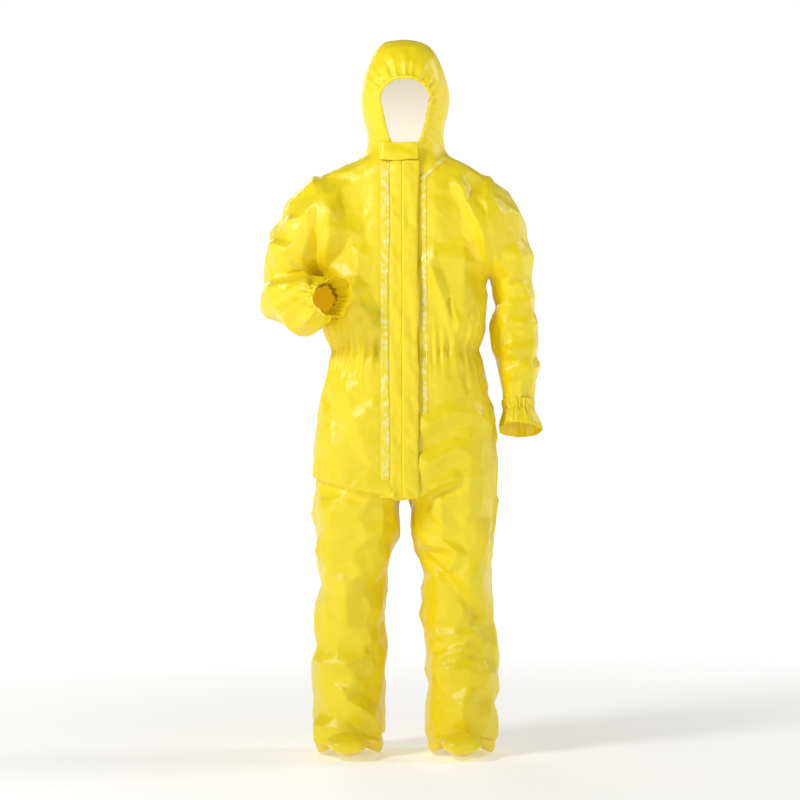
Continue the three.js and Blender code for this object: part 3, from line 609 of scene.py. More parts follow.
# Creases as lines on the front: from x, z to x, z, with the height and half width of each ridge
CREASES = [
    # the right chest
    (-0.226, -0.12, -0.222, -0.32, -0.014, 0.020),
    (-0.20, -0.19, -0.12, -0.182, 0.006, 0.030),
    (-0.11, -0.22, -0.132, -0.39, 0.009, 0.034),
    (-0.19, -0.26, -0.10, -0.34, 0.006, 0.030),
    (-0.16, -0.06, -0.19, -0.15, 0.008, 0.032),
    (-0.13, -0.32, -0.065, -0.44, 0.007, 0.030),
    # the left chest
    (0.125, -0.05, 0.18, -0.152, 0.012, 0.024),
    (0.18, -0.152, 0.218, -0.25, 0.011, 0.022),
    (0.142, -0.208, 0.142, -0.43, 0.010, 0.042),
    (0.055, -0.24, 0.20, -0.262, 0.006, 0.030),
    (0.053, -0.255, 0.125, -0.43, 0.008, 0.022),
    (0.215, -0.32, 0.15, -0.45, 0.008, 0.026),
    (0.105, -0.345, 0.12, -0.43, -0.008, 0.010),
    # the belly
    (0.04, -0.675, 0.125, -0.63, 0.010, 0.034),
    (0.125, -0.63, 0.20, -0.65, 0.010, 0.034),
    (0.037, -0.77, 0.145, -0.715, 0.010, 0.034),
    (0.07, -0.82, 0.13, -0.79, 0.008, 0.020),
    (0.137, -0.52, 0.155, -0.58, -0.005, 0.012),
    (0.155, -0.66, 0.165, -0.82, 0.007, 0.050),
    (-0.066, -0.61, -0.13, -0.66, 0.006, 0.024),
    (-0.15, -0.56, -0.10, -0.74, 0.006, 0.050),
    (-0.21, -0.62, -0.16, -0.78, 0.006, 0.045),
    # the right leg
    (-0.232, -0.978, -0.105, -1.006, 0.011, 0.040),
    (-0.142, -1.062, -0.033, -0.974, 0.015, 0.045),
    (-0.20, -1.012, -0.142, -1.062, 0.009, 0.030),
    (-0.148, -1.07, -0.148, -1.166, 0.013, 0.034),
    (-0.137, -0.985, -0.048, -0.918, 0.007, 0.028),
    (-0.157, -1.262, -0.096, -1.232, 0.008, 0.014),
    (-0.24, -1.255, -0.12, -1.278, 0.009, 0.034),
    (-0.162, -1.336, -0.114, -1.298, 0.009, 0.026),
    (-0.162, -1.336, -0.076, -1.405, 0.011, 0.034),
    (-0.228, -1.415, -0.124, -1.43, 0.008, 0.024),
    (-0.17, -0.86, -0.20, -0.95, 0.006, 0.045),
    # the left leg
    (0.04, -0.958, 0.134, -0.974, 0.010, 0.022),
    (0.134, -0.974, 0.106, -1.034, 0.009, 0.022),
    (0.045, -1.0, 0.106, -1.045, -0.011, 0.018),
    (0.106, -1.045, 0.19, -1.148, -0.010, 0.024),
    (0.215, -0.907, 0.147, -1.072, 0.012, 0.045),
    (0.063, -1.188, 0.19, -1.188, 0.007, 0.018),
    (0.078, -1.25, 0.157, -1.217, 0.008, 0.016),
    (0.06, -1.27, 0.233, -1.287, 0.013, 0.036),
    (0.147, -1.336, 0.147, -1.41, 0.010, 0.040),
    (0.147, -1.336, 0.21, -1.31, 0.008, 0.030),
    (0.06, -0.87, 0.11, -0.93, 0.007, 0.030),
    # the left sleeve
    (0.228, -0.264, 0.325, -0.231, 0.009, 0.034),
    (0.231, -0.37, 0.335, -0.342, 0.010, 0.020),
    (0.246, -0.411, 0.335, -0.41, 0.009, 0.018),
    (0.246, -0.489, 0.34, -0.466, 0.010, 0.022),
    (0.256, -0.545, 0.345, -0.512, 0.009, 0.022),
    (0.262, -0.31, 0.325, -0.29, -0.008, 0.014),
    # the right sleeve
    (-0.345, -0.333, -0.225, -0.30, 0.012, 0.026),
    (-0.33, -0.25, -0.24, -0.29, 0.010, 0.026),
    (-0.31, -0.395, -0.24, -0.345, 0.009, 0.024),
    (-0.29, -0.14, -0.25, -0.26, 0.009, 0.030),
    (-0.335, -0.21, -0.25, -0.245, 0.008, 0.024),
    (-0.26, -0.42, -0.22, -0.39, 0.007, 0.020),
]
# The same for the back
BACK_CREASES = [
    (-0.19, -0.10, -0.06, -0.30, 0.011, 0.045),
    (0.19, -0.10, 0.07, -0.32, 0.011, 0.045),
    (-0.16, -0.28, -0.05, -0.43, 0.009, 0.035),
    (0.17, -0.30, 0.03, -0.44, 0.009, 0.035),
    (-0.12, -0.55, -0.02, -0.72, 0.010, 0.045),
    (0.14, -0.54, 0.06, -0.74, 0.010, 0.045),
    (-0.20, -0.72, -0.04, -0.80, 0.011, 0.035),
    (0.20, -0.70, 0.05, -0.82, 0.011, 0.035),
    (-0.20, -0.90, -0.06, -0.94, 0.012, 0.030),
    (0.21, -0.93, 0.05, -0.90, 0.012, 0.030),
    (-0.21, -1.04, -0.06, -1.00, 0.013, 0.030),
    (0.20, -1.03, 0.07, -1.08, 0.013, 0.030),
    (-0.21, -1.12, -0.07, -1.16, 0.012, 0.030),
    (0.22, -1.15, 0.07, -1.12, 0.012, 0.030),
    (-0.22, -1.28, -0.08, -1.22, 0.011, 0.035),
    (0.22, -1.24, 0.09, -1.31, 0.011, 0.035),
    (-0.21, -1.36, -0.09, -1.40, 0.010, 0.030),
    (0.21, -1.39, 0.09, -1.36, 0.010, 0.030),
    (-0.33, -0.20, -0.23, -0.26, 0.009, 0.030),
    (0.33, -0.24, 0.23, -0.30, 0.009, 0.030),
    (0.34, -0.40, 0.24, -0.43, 0.009, 0.020),
    (0.34, -0.50, 0.25, -0.47, 0.009, 0.020),
    (-0.35, -0.30, -0.26, -0.34, 0.010, 0.026),
]


def creased(p, n):
    """How far outwards the listed creases push each base point."""
    out = np.zeros(len(p))
    for lines, sign, much in ((CREASES, -1, 1.6), (BACK_CREASES, 1, 0.75)):
        facing = np.clip(sign * n[:, 1] + 0.25, 0, 1)
        for x0, z0, x1, z1, height, half in lines:
            a, d = np.array((x0, z0)), np.array((x1 - x0, z1 - z0))
            size = np.hypot(*d)
            q = p[:, [0, 2]] - a
            t = (q @ d) / size**2
            off = np.abs(q @ np.array((-d[1], d[0]))) / size
            end = np.clip(np.minimum(t, 1 - t) * size / half + 0.5, 0, 1)
            out += facing * end * height * much * np.clip(1 - off / half, 0, 1)
    return out


def pleats(angle, count, seed):
    """Narrow uneven pleats round an elastic: from -1 in a valley to 1 on a ridge."""
    turn = angle * count / (2 * math.pi)
    where = np.stack([np.cos(angle) * 2.1, np.sin(angle) * 2.1, np.full(len(angle), seed)], 1)
    turn = turn + 0.9 * smooth_noise(where, 1.0) + 0.35 * smooth_noise(where, 3.1, 5.0)
    wave = np.abs(2 * (turn - np.floor(turn)) - 1)
    return (2 * wave - 1) * (0.75 + 0.5 * smooth_noise(where, 2.3, 9.0))


def gathered(p, m):
    """How far outwards the pleats round the waist elastic push each base point."""
    x, y, z = p.T
    torso = ~(m["left"] | m["right"] | m["legs"] | m["hood"])
    around = np.arctan2(y, x)
    up = np.abs(z - WAIST_Z)
    circle = np.stack([np.cos(around), np.sin(around), around * 0], 1)
    reach = 0.045 + 0.035 * smooth_noise(circle, 3.0, 2.0)
    side = 0.45 + 0.55 * smoothstep(0.05, 0.13, np.abs(x)) + 0.3 * (y > 0)
    fade = np.exp(-((up / reach) ** 1.5)) * torso * side
    pinch = 0.006 * np.exp(-((up / 0.022) ** 2)) * torso
    return 0.0115 * pleats(around, 44, 1.0) * fade - pinch


# ---- Regions of the base shape -----------------------------------------------------------------


def masks(p):
    """Where each base point belongs."""
    x, y, z = p.T
    left = (x > ARMHOLE_X) & (z > -0.72)
    right = (x < -ARMHOLE_X) & (z > -0.5)
    q = p - np.array(RIGHT_ELBOW)
    fore = q @ np.array(RIGHT_FORE)
    off = np.linalg.norm(q - fore[:, None] * np.array(RIGHT_FORE), axis=1)
    right |= (fore > 0.03) & (off < 0.085) & (y < -0.08) & (z < -0.2)
    legs = z < CROTCH_Z
    hood = (z > 0.0) & (np.abs(x) < 0.13)
    return {"left": left, "right": right, "legs": legs & ~left & ~right, "hood": hood}


def along(points, start, end):
    """How far each point lies from start, at 0, to end, at 1."""
    start, end = np.array(start), np.array(end)
    return (points - start) @ (end - start) / ((end - start) @ (end - start))


def face_radius(p):
    """1 on the edge of the face opening, less inside it."""
    x, _, z = p.T
    up = (z - WIDEST_Z) / np.where(z > WIDEST_Z, BROW_Z - WIDEST_Z, WIDEST_Z - FACE_LOW_Z)
    low = np.clip(-up, 0, 1.2)
    half = FACE_X * (1 - 0.34 * low)
    power = 2.1 + 2.5 * low
    return (np.abs(x / half) ** power + np.abs(up) ** power) ** (1 / power)


def crumple(piece):
    """All the folds of one skin. Returns its points as they were before."""
    base, n = along_normals(piece)
    base = base.copy()
    m = masks(base)
    x, y, z = base.T
    limbs = m["legs"] | m["left"] | m["right"]
    quiet = 1 - 0.9 * smoothstep(0.092, 0.05, np.abs(x + 0.012)) * (y < 0) * ~limbs * (z < 0.02)
    quiet *= 1 - 0.6 * m["hood"]
    seam = smoothstep(0.016, 0.002, np.abs(np.abs(x) - ARMHOLE_X)) * (z > SHOULDER_Z - ARMHOLE_R - 0.02)
    near_ring = np.abs(np.hypot(y - SHOULDER_Y, z - SHOULDER_Z) - ARMHOLE_R) < 0.02
    calm = 1 - seam * near_ring
    body = smooth_noise(base, (7, 7, 5)) * 0.9 + smooth_noise(base, (14, 14, 10), 7.0) * 0.5
    limb = smooth_noise(base + 0.3 * base[:, [2, 0, 1]], (7, 7, 11)) * 0.9
    limb += smooth_noise(base, (15, 15, 20), 3.0) * 0.5
    out = np.where(limbs, 0.0165 * limb, 0.0145 * body) * quiet
    out += creased(base, n) + overhang(base)
    put_coordinates(piece.data, base + n * (out * calm)[:, None])
    share = len(base) / 110000
    flatten_to_facets(piece, 2000 * share, 0.92 * np.minimum(quiet, calm))
    p, n = along_normals(piece)
    out = gathered(base, m) + face_gathers(base, m) + wrist_gathers(base)
    fine = smooth_noise(base, 34.0, 11.0) + 0.6 * smooth_noise(base, 60.0, 4.0)
    out += 0.0016 * fine * (0.4 + 0.6 * quiet)
    p = p + n * (out * calm)[:, None]
    around = np.stack([x * 14, y * 14, z * 0], 1)
    p[:, 2] += 0.016 * smooth_noise(around, 1.0, 2.0) * m["legs"] * smoothstep(-1.40, -1.47, z)
    put_coordinates(piece.data, p)
    flatten_to_facets(piece, 15000 * share, 0.7 * calm)
    p = coordinates(piece.data)
    window = smoothstep(0.034, SLIT + 0.001, np.abs(x)) * (y < -0.05)
    window = window * smoothstep(SLIT_LOW - 0.012, SLIT_LOW, z)
    window = window * smoothstep(SLIT_HIGH + 0.012, SLIT_HIGH, z)
    p[:, 1] += window * (front_at(z) + 0.0056 - p[:, 1])
    put_coordinates(piece.data, p)
    return base


def overhang(p):
    """The trunk's cloth sags over the top of the right leg in front."""
    x, y, z = p.T
    edge_x = [-0.235, -0.13, -0.05, 0.0, 0.04, 0.09, 0.14]
    edge_z = [-0.797, -0.828, -0.838, -0.846, -0.842, -0.815, -0.80]
    line = np.interp(x, edge_x, edge_z)
    above = z - line
    share = np.interp(x, [-0.235, -0.2, -0.02, 0.02, 0.06, 0.12, 0.15], [0.7, 1, 1, 0.6, 0.7, 0.6, 0])
    share = share * (y < 0)
    bulge = 0.011 * smoothstep(0.07, 0.004, above) * (above > 0)
    under = -0.008 * smoothstep(-0.045, -0.004, above) * (above <= 0)
    return share * (bulge + under)


def wrist_gathers(p):
    """The pleats above each wrist elastic."""
    out = np.zeros(len(p))
    for wrist, ahead, side in ((LEFT_WRIST, LEFT_FORE, 1), (RIGHT_WRIST, RIGHT_FORE, -1)):
        ahead = np.array(ahead)
        reach = p - np.array(wrist)
        t = reach @ ahead
        off = reach - t[:, None] * ahead
        near_it = (np.linalg.norm(off, axis=1) < 0.08) & (t > -0.12)
        around = np.arctan2(off[:, 1] + off[:, 2] * (side < 0), off[:, 0])
        fade = np.exp(-((np.minimum(t, 0) / 0.035) ** 2)) * near_it
        out += fade * (0.0045 * pleats(around, 13, side * 3.0) - 0.004)
    return out


def face_gathers(p, m):
    """The pleats that the elastic hem pulls into the hood, deepest over the brow."""
    x, y, z = p.T
    middle = WIDEST_Z - 0.04
    around = np.arctan2(z - middle, x)
    off = (face_radius(p) - 1) * FACE_X
    strength = 0.5 + 0.5 * smoothstep(0.0, 0.08, z - middle) + 0.3 * smoothstep(0.02, 0.06, x)
    reach = 0.034 + 0.016 * np.cos(around * 3 + 1)
    fade = np.exp(-((np.maximum(off, 0) / reach) ** 1.6)) * (y < -0.02) * m["hood"] * (z > CHIN_Z)
    return 0.0062 * pleats(around, 32, 4.0) * fade * strength


def seam_normals(base, n):
    """The outward directions, the same on both sides of an armhole's seam."""
    x, y, z = base.T
    radial = np.stack([np.zeros(len(base)), y - SHOULDER_Y, z - SHOULDER_Z], 1)
    off = np.linalg.norm(radial, axis=1)
    close = (np.abs(off - ARMHOLE_R) < 0.02) * smoothstep(0.014, 0.001, np.abs(np.abs(x) - ARMHOLE_X))
    radial = radial / np.maximum(off, 1e-6)[:, None] + np.stack([np.sign(x) * 0.3, 0 * x, 0 * x], 1)
    radial /= np.linalg.norm(radial, axis=1)[:, None]
    mixed = n * (1 - close[:, None]) + radial * close[:, None]
    return mixed / np.linalg.norm(mixed, axis=1)[:, None]


def label_faces(base, mesh):
    """Which piece each face of the body belongs to."""
    corners = np.array([np.mean(base[list(f.vertices)], axis=0) for f in mesh.polygons])
    x, y, z = corners.T
    names = np.full(len(corners), "body_skin", dtype=object)
    names[z > 0.006] = "hood_skin"
    for side, word in ((1, "left"), (-1, "right")):
        start, end = hip_line(side)
        t = along(corners, start, end)
        ours = (side * x > 0) & (z < -0.58)
        names[ours & (t > 0.0)] = word + "_leg_top"
        names[ours & (z < LEG_SPLIT)] = word + "_leg_end"
    front = (y < -0.03) & (z > 0.0)
    names[front & (face_radius(corners) < 1)] = ""
    names[z < HEM_CUT] = ""
    names[(np.abs(x) < SLIT) & (z > SLIT_LOW) & (z < SLIT_HIGH) & (y < -0.05)] = ""
    return names


def hip_line(side):
    """From where a leg follows the trunk to where it follows the thigh."""
    return (0, 0, -0.844), (side * 0.0763, 0, -0.9287)


def take(source, names, wanted, normals, materials):
    """The faces with one name as their own piece, with its lining."""
    bm = bmesh.new()
    bm.from_mesh(source.data)
    bm.faces.ensure_lookup_table()
    number = bm.verts.layers.int.new("number")
    for index, vert in enumerate(bm.verts):
        vert[number] = index
    gone = [f for f, name in zip(bm.faces, names) if name != wanted]
    bmesh.ops.delete(bm, geom=gone, context="FACES")
    kept = np.array([vert[number] for vert in bm.verts])
    piece = to_object(bm, wanted)
    paint(piece, "laminate", *materials)
    wall = piece.modifiers.new("wall", "SOLIDIFY")
    wall.thickness = FILM
    wall.offset = -1
    wall.use_rim = True
    wall.material_offset = 1
    wall.material_offset_rim = 0
    apply_modifiers(piece)
    shade_smooth(piece)
    outer = normals[kept]
    piece.data.normals_split_custom_set_from_vertices(np.concatenate([outer, -outer]))
    return piece


# ---- Pieces --------------------------------------------------------------------------------------


def paint(piece, slot_name, *materials):
    piece.data.materials.clear()
    for made in materials:
        piece.data.materials.append(made)
    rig.slot(piece, slot_name)


def hex_colour(code):
    """An sRGB hex code as the linear colour that a shader takes."""
    parts = [int(code[i : i + 2], 16) / 255 for i in (0, 2, 4)]
    return [((c + 0.055) / 1.055) ** 2.4 if c > 0.04045 else c / 12.92 for c in parts] + [1]


def plain(name, code, roughness):
    made = bpy.data.materials.new(name)
    made.use_nodes = True
    shader = made.node_tree.nodes["Principled BSDF"]
    shader.inputs["Base Color"].default_value = hex_colour(code)
    shader.inputs["Roughness"].default_value = roughness
    return made


def glowing(made, colour, strength):
    """Gives the material an emission colour and strength: painted light, a glow that no lamp casts on it."""
    shader = made.node_tree.nodes["Principled BSDF"]
    shader.inputs["Emission Color"].default_value = (*colour, 1)
    shader.inputs["Emission Strength"].default_value = strength


def add(made, kind, links=(), **values):
    """A node in the material, with its sockets set and linked."""
    node = made.node_tree.nodes.new(kind)
    for key, value in values.items():
        if hasattr(node, key):
            setattr(node, key, value)
        else:
            node.inputs[key.replace("_", " ")].default_value = value
    for socket, source in links:
        made.node_tree.links.new(source, node.inputs[socket])
    return node


def film(name, code, shade, roughness, crinkle_mm, depth):
    """A thin plastic film on nonwoven: flat little facets between fine creases."""
    made = plain(name, code, roughness)
    shader = made.node_tree.nodes["Principled BSDF"]
    place = add(made, "ShaderNodeTexCoord").outputs["Object"]
    wide = add(made, "ShaderNodeTexNoise", [("Vector", place)], Scale=9.0, Detail=3.0)
    mix = add(made, "ShaderNodeMix", [("Factor", wide.outputs["Fac"])], data_type="RGBA")
    mix.inputs["A"].default_value = hex_colour(shade)
    mix.inputs["B"].default_value = hex_colour(code)
    made.node_tree.links.new(mix.outputs["Result"], shader.inputs["Base Color"])
    bend = add(made, "ShaderNodeTexNoise", [("Vector", place)], Scale=400.0 / crinkle_mm, Detail=2.0)
    links = [(0, bend.outputs["Color"])]
    push = add(made, "ShaderNodeVectorMath", links, operation="SCALE", Scale=crinkle_mm / 1500)
    moved = add(made, "ShaderNodeVectorMath", [(0, place), (1, push.outputs[0])], operation="ADD")
    facets = add(made, "ShaderNodeTexVoronoi", [("Vector", moved.outputs[0])], Scale=1000.0 / crinkle_mm)
    grain = add(made, "ShaderNodeTexNoise", [("Vector", place)], Scale=900.0, Detail=1.0)
    rough = add(made, "ShaderNodeBump", [("Height", grain.outputs["Fac"])], Strength=0.08, Distance=0.0004)
    links = [("Height", facets.outputs["Distance"]), ("Normal", rough.outputs["Normal"])]
    bump = add(made, "ShaderNodeBump", links, Strength=0.22, Distance=depth)
    made.node_tree.links.new(bump.outputs["Normal"], shader.inputs["Normal"])
    shader.inputs["Sheen Weight"].default_value = 0.04
    shader.inputs["Sheen Roughness"].default_value = 0.4
    return made


def taped(name, code, under):
    """Heat-pressed seam tape, pale where it has lifted and clear where it still grips."""
    made = film(name, code, code, 0.28, 9.0, 0.002)
    shader = made.node_tree.nodes["Principled BSDF"]
    place = add(made, "ShaderNodeTexCoord").outputs["Object"]
    patch = add(made, "ShaderNodeTexNoise", [("Vector", place)], Scale=75.0, Detail=4.0)
    links = [("Value", patch.outputs["Fac"])]
    sharp = add(made, "ShaderNodeMapRange", links, From_Min=0.46, From_Max=0.60)
    mix = add(made, "ShaderNodeMix", [("Factor", sharp.outputs[0])], data_type="RGBA")
    mix.inputs["A"].default_value = hex_colour(under)
    mix.inputs["B"].default_value = hex_colour(code)
    made.node_tree.links.new(mix.outputs["Result"], shader.inputs["Base Color"])
    return made


# ---- Smaller pieces ------------------------------------------------------------------------------


def grid_piece(name, columns, rows, place):
    """A sheet of columns by rows squares. place(u, v) gives each point, with u and v from 0 to 1."""
    bm = bmesh.new()
    bmesh.ops.create_grid(bm, x_segments=columns, y_segments=rows, size=0.5)
    for vert in bm.verts:
        vert.co = place(vert.co.x + 0.5, vert.co.y + 0.5)
    return to_object(bm, name)


def ring_piece(name, columns, rows, place):
    """A tube of columns round and rows along, open at both ends. place(angle, v) gives each point."""
    bm = bmesh.new()
    loops = []
    for row in range(rows + 1):
        made = bmesh.ops.create_circle(bm, segments=columns, radius=1)["verts"]
        loops.append(edges_of(made))
        for vert in made:
            vert.co = place(math.atan2(vert.co.y, vert.co.x), row / rows)
    for lower, upper in zip(loops, loops[1:]):
        bmesh.ops.bridge_loops(bm, edges=lower + upper)
    bmesh.ops.recalc_face_normals(bm, faces=bm.faces)
    return to_object(bm, name)


def thicken(piece, thickness, offset=0.0, levels=0):
    """Gives a sheet its thickness, and rounds it."""
    if levels:
        rounder = piece.modifiers.new("rounder", "SUBSURF")
        rounder.levels = rounder.render_levels = levels
    wall = piece.modifiers.new("wall", "SOLIDIFY")
    wall.thickness = thickness
    wall.offset = offset
    apply_modifiers(piece)
    shade_smooth(piece)


def pleat(angle, count, seed):
    """The pleats at one angle."""
    return float(pleats(np.array([angle]), count, seed)[0])


def cuff(word, wrist, ahead, side):
    """The elastic at the wrist and the loose ruffle past it."""
    ahead = Vector(ahead)
    u = (Vector(side) - ahead * ahead.dot(Vector(side))).normalized()
    w = ahead.cross(u)
    steps = [0.0, 0.12, 0.22, 0.32, 0.45, 0.62, 0.8, 0.92, 1.0]
    radii = [0.0400, 0.0405, 0.0385, 0.0365, 0.0390, 0.0440, 0.0490, 0.0510, 0.0505]
    depth = [0.0022, 0.0034, 0.0042, 0.0044, 0.0042, 0.0034, 0.0024, 0.0018, 0.0016]

    def place(angle, v):
        r = np.interp(v, steps, radii) + np.interp(v, steps, depth) * pleat(angle, 15, side[0] * 3.0)
        uneven = 0.004 * math.sin(2 * angle + 0.7) + 0.0035 * math.sin(3 * angle + 2.0)
        r += (uneven + 0.002 * math.sin(7 * angle)) * v
        out = u * math.cos(angle) + w * math.sin(angle)
        reach = -0.022 + 0.074 * v + (0.014 * out.y + 0.006 * side[0] * out.x) * v * (ahead.z < -0.5)
        round_it = u * (r * math.cos(angle)) + w * (r * math.sin(angle))
        return Vector(wrist) + ahead * reach + round_it + Vector((0, 0, -0.004 * v))

    piece = ring_piece(word + "_cuff_ruffle", 132, 26, place)
    flatten_to_facets(piece, 900, np.full(len(piece.data.vertices), 0.6))
    paint(piece, "laminate", laminate, inside)
    thicken(piece, FILM, -1)
    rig.ride(piece, word + "_forearm")
    return piece


def face_curve(angle, grow=0.0):
    """A point on the edge of the face opening, as x and z."""
    c, s = math.cos(angle), math.sin(angle)
    inner, outer = 0.0, 0.2
    for _ in range(30):
        r = (inner + outer) / 2
        if face_radius(np.array([[c * r, 0, WIDEST_Z - 0.04 + s * r]]))[0] < 1:
            inner = r
        else:
            outer = r
    return c * (r + grow), WIDEST_Z - 0.04 + s * (r + grow)


def tree_of(*objects):
    bm = bmesh.new()
    for piece in objects:
        bm.from_mesh(piece.data)
    tree = BVHTree.FromBMesh(bm)
    bm.free()
    return tree


def front_y(tree, x, z, missing=None):
    """How far forward the surface is at x, z."""
    hit = tree.ray_cast(Vector((x, -1, z)), Vector((0, 1, 0)))[0]
    return hit.y if hit is not None and hit.y < 0.02 else missing


def face_hem(skin_tree):
    """The rolled hem with its elastic, round the face."""
    depths = {}
    for index in range(181):
        angle = index * 2 * math.pi / 180 - math.pi
        for grow in (0.004, 0.010, 0.016, 0.022):
            x, z = face_curve(angle, grow)
            y = front_y(skin_tree, x, z)
            if y is not None:
                depths.setdefault(index, y)
    keys = sorted(depths)
    values = np.array([depths[k] for k in keys])
    spread = np.array([1, 2, 3, 4, 3, 2, 1]) / 16
    values = np.convolve(np.concatenate([values[-4:-1], values, values[1:4]]), spread, "valid")

    def place(angle, v):
        y = np.interp((angle + math.pi) * 180 / (2 * math.pi), keys, values)
        turn = v * 2 * math.pi
        wave = pleat(angle, 44, 6.0)
        r = 0.0042 + 0.0007 * wave
        x0, z0 = face_curve(angle, 0.0022)
        x1, z1 = face_curve(angle, 0.0032)
        out = Vector((x1 - x0, 0, z1 - z0)).normalized()
        here = Vector((x0, y + 0.0006, z0))
        return here + out * (r * 1.25 * math.cos(turn)) + Vector((0, 1, 0)) * (r * math.sin(turn))

    bm = bmesh.new()
    loops = []
    for index in range(240):
        made = bmesh.ops.create_circle(bm, segments=12, radius=1)["verts"]
        loops.append(edges_of(made))
        for vert in made:
            turn = math.atan2(vert.co.y, vert.co.x) / (2 * math.pi)
            vert.co = place(index * 2 * math.pi / 240 - math.pi, turn)
    for lower, upper in zip(loops, loops[1:] + loops[:1]):
        bmesh.ops.bridge_loops(bm, edges=lower + upper)
    bmesh.ops.recalc_face_normals(bm, faces=bm.faces)
    piece = to_object(bm, "face_hem")
    shade_smooth(piece)
    paint(piece, "laminate", laminate)
    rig.blend(piece, "torso", "hood", start=(0, 0, NECK_LOW), end=(0, 0, NECK_HIGH))
    return piece


def leg_hem(word, side):
    """The gathered end of a leg, which arches over the foot in front and rests on the floor elsewhere."""
    top = HEM_CUT + 0.024
    half, deep = 0.0775, 0.106

    def place(angle, v):
        ahead = max(-math.sin(angle), 0)
        arch = float(smoothstep(0.15, 0.95, ahead))
        low = SOLE_Z + 0.003 + 0.030 * arch + 0.008 * ahead
        t = min(v / 0.72, 1)
        under = max((v - 0.72) / 0.28, 0)
        wander = noise.noise(Vector((math.cos(angle) * 1.6, math.sin(angle) * 1.6, side * 3.0 + t)))
        z = top + (low - top) * t + 0.010 * under
        arcs = 0.0065 * ahead * math.sin(2 * math.pi * (1.9 * t + 0.35 * wander) + 0.6)
        arcs *= math.sin(math.pi * t) ** 0.5
        wave = pleat(angle, 11, side * 2.0) * 0.0022 * (0.4 + 0.6 * t)
        out = math.sin(math.pi * t**1.4) * 0.0085 + arcs + wave + 0.005 * wander * t - 0.030 * under
        c, s = math.cos(angle), math.sin(angle)
        x = math.copysign(abs(c) ** 0.91, c) * (half + out)
        y = math.copysign(abs(s) ** 0.91, s) * (deep + out)
        return Vector((side * 0.1415 + x, y - 0.006, z))

    piece = ring_piece(word + "_hem_ruffle", 168, 26, place)
    flatten_to_facets(piece, 1400, np.full(len(piece.data.vertices), 0.6))
    paint(piece, "laminate", laminate, inside)
    thicken(piece, FILM, -1)
    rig.ride(piece, word + "_shin")
    return piece


# Along the foot: how far back, half width, top of the foot above the floor
FOOT = [
    (-0.176, 0.024, 0.020),
    (-0.170, 0.038, 0.030),
    (-0.154, 0.048, 0.040),
    (-0.120, 0.051, 0.054),
    (-0.060, 0.047, 0.074),
    (0.000, 0.043, 0.090),
    (0.045, 0.040, 0.090),
    (0.068, 0.030, 0.070),
    (0.078, 0.014, 0.040),
]


def sock(word, side):
    """The attached sock, soft and a little creased."""
    bm = bmesh.new()
    toe = [0.022 * float(smoothstep(-0.05, -0.17, y)) for y, _, _ in FOOT]
    loft(
        bm,
        [
            across((side * 0.142, y, SOLE_Z + lift + top / 2), (0, 1, 0), half, top / 2)
            for (y, half, top), lift in zip(FOOT, toe)
        ],
    )
    ankle = ((0.05, 0.046), (0.09, 0.044), (0.16, 0.046))
    loft(bm, [level(SOLE_Z + z, r, 0.018 - r * 1.2, 0.018 + r * 1.2, side * 0.142) for z, r in ankle])
    bmesh.ops.recalc_face_normals(bm, faces=bm.faces)
    piece = to_object(bm, word + "_sock_skin")
    even = piece.modifiers.new("even", "REMESH")
    even.mode = "VOXEL"
    even.voxel_size = 0.004
    smooth = piece.modifiers.new("smooth", "SMOOTH")
    smooth.iterations = 8
    apply_modifiers(piece)
    p, n = along_normals(piece)
    out = 0.003 * smooth_noise(p, (26, 26, 34), side) + 0.0015 * smooth_noise(p, 60, 8.0)
    put_coordinates(piece.data, p + n * out[:, None])
    flatten_to_facets(piece, 1600, np.full(len(p), 0.7))
    p = coordinates(piece.data).copy()
    p[:, 2] = np.maximum(p[:, 2], SOLE_Z)
    put_coordinates(piece.data, p)
    shade_smooth(piece)
    paint(piece, "laminate", laminate)
    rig.ride(piece, word + "_shin")
    return piece


def storm_flap():
    """The flap over the zip: a flat base, a stitched groove and a raised strip along its free edge."""
    low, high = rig.box("storm_flap")[0][2] - 0.002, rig.box("storm_flap")[1][2]
    # across the flap, from its sewn edge: x, and how far the cloth stands out there
    section = [
        (-0.0625, 0.0012),
        (-0.058, 0.0022),
        (-0.050, 0.0028),
        (-0.038, 0.0032),
        (-0.034, 0.0052),
        (-0.030, 0.0062),
        (-0.020, 0.0064),
        (-0.013, 0.0066),
        (-0.0100, 0.0070),
        (-0.0085, 0.0052),
        (-0.0070, 0.0086),
        (-0.003, 0.0108),
        (0.006, 0.0116),
        (0.016, 0.0117),
        (0.025, 0.0116),
        (0.029, 0.0108),
        (0.0320, 0.0086),
        (0.0328, 0.0066),
    ]
    xs, outs = zip(*section)

    def place(u, v):
        z = low + (high - low) * v
        x = np.interp(u * (len(xs) - 1), range(len(xs)), xs)
        out = np.interp(u * (len(xs) - 1), range(len(xs)), outs)
        sway = noise.noise(Vector((0.3, 0, z * 9))) * 0.0055
        sway += noise.noise(Vector((0.3, 4, z * 30))) * 0.0022
        crinkle = noise.noise(Vector((x * 26, 2, z * 12 + x * 20))) * 0.0062
        crinkle += noise.noise(Vector((x * 60, 5, z * 40))) * 0.0024
        pucker = 0.0004 * math.sin(z * 1100) * math.exp(-(((x + 0.0085) / 0.005) ** 2))
        end = 0.004 * math.exp(-(v * (high - low) / 0.012) ** 2) * (0.5 + 0.5 * math.sin(x * 150))
        y = front_at(z) - out - (crinkle + pucker) * min(u * 3, 1) - end
        return Vector((x + sway * u**2, y, z))

    piece = grid_piece("storm_flap_cloth", 48, 330, place)
    flatten_to_facets(piece, 2600, np.full(len(piece.data.vertices), 0.55))
    paint(piece, "laminate", laminate)
    thicken(piece, 0.0012, 0)
    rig.ride(piece, "storm_flap")
    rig.sheet(piece, flat=(0.102, high - low), held="laid", rests_on=["body_skin"])
    return piece


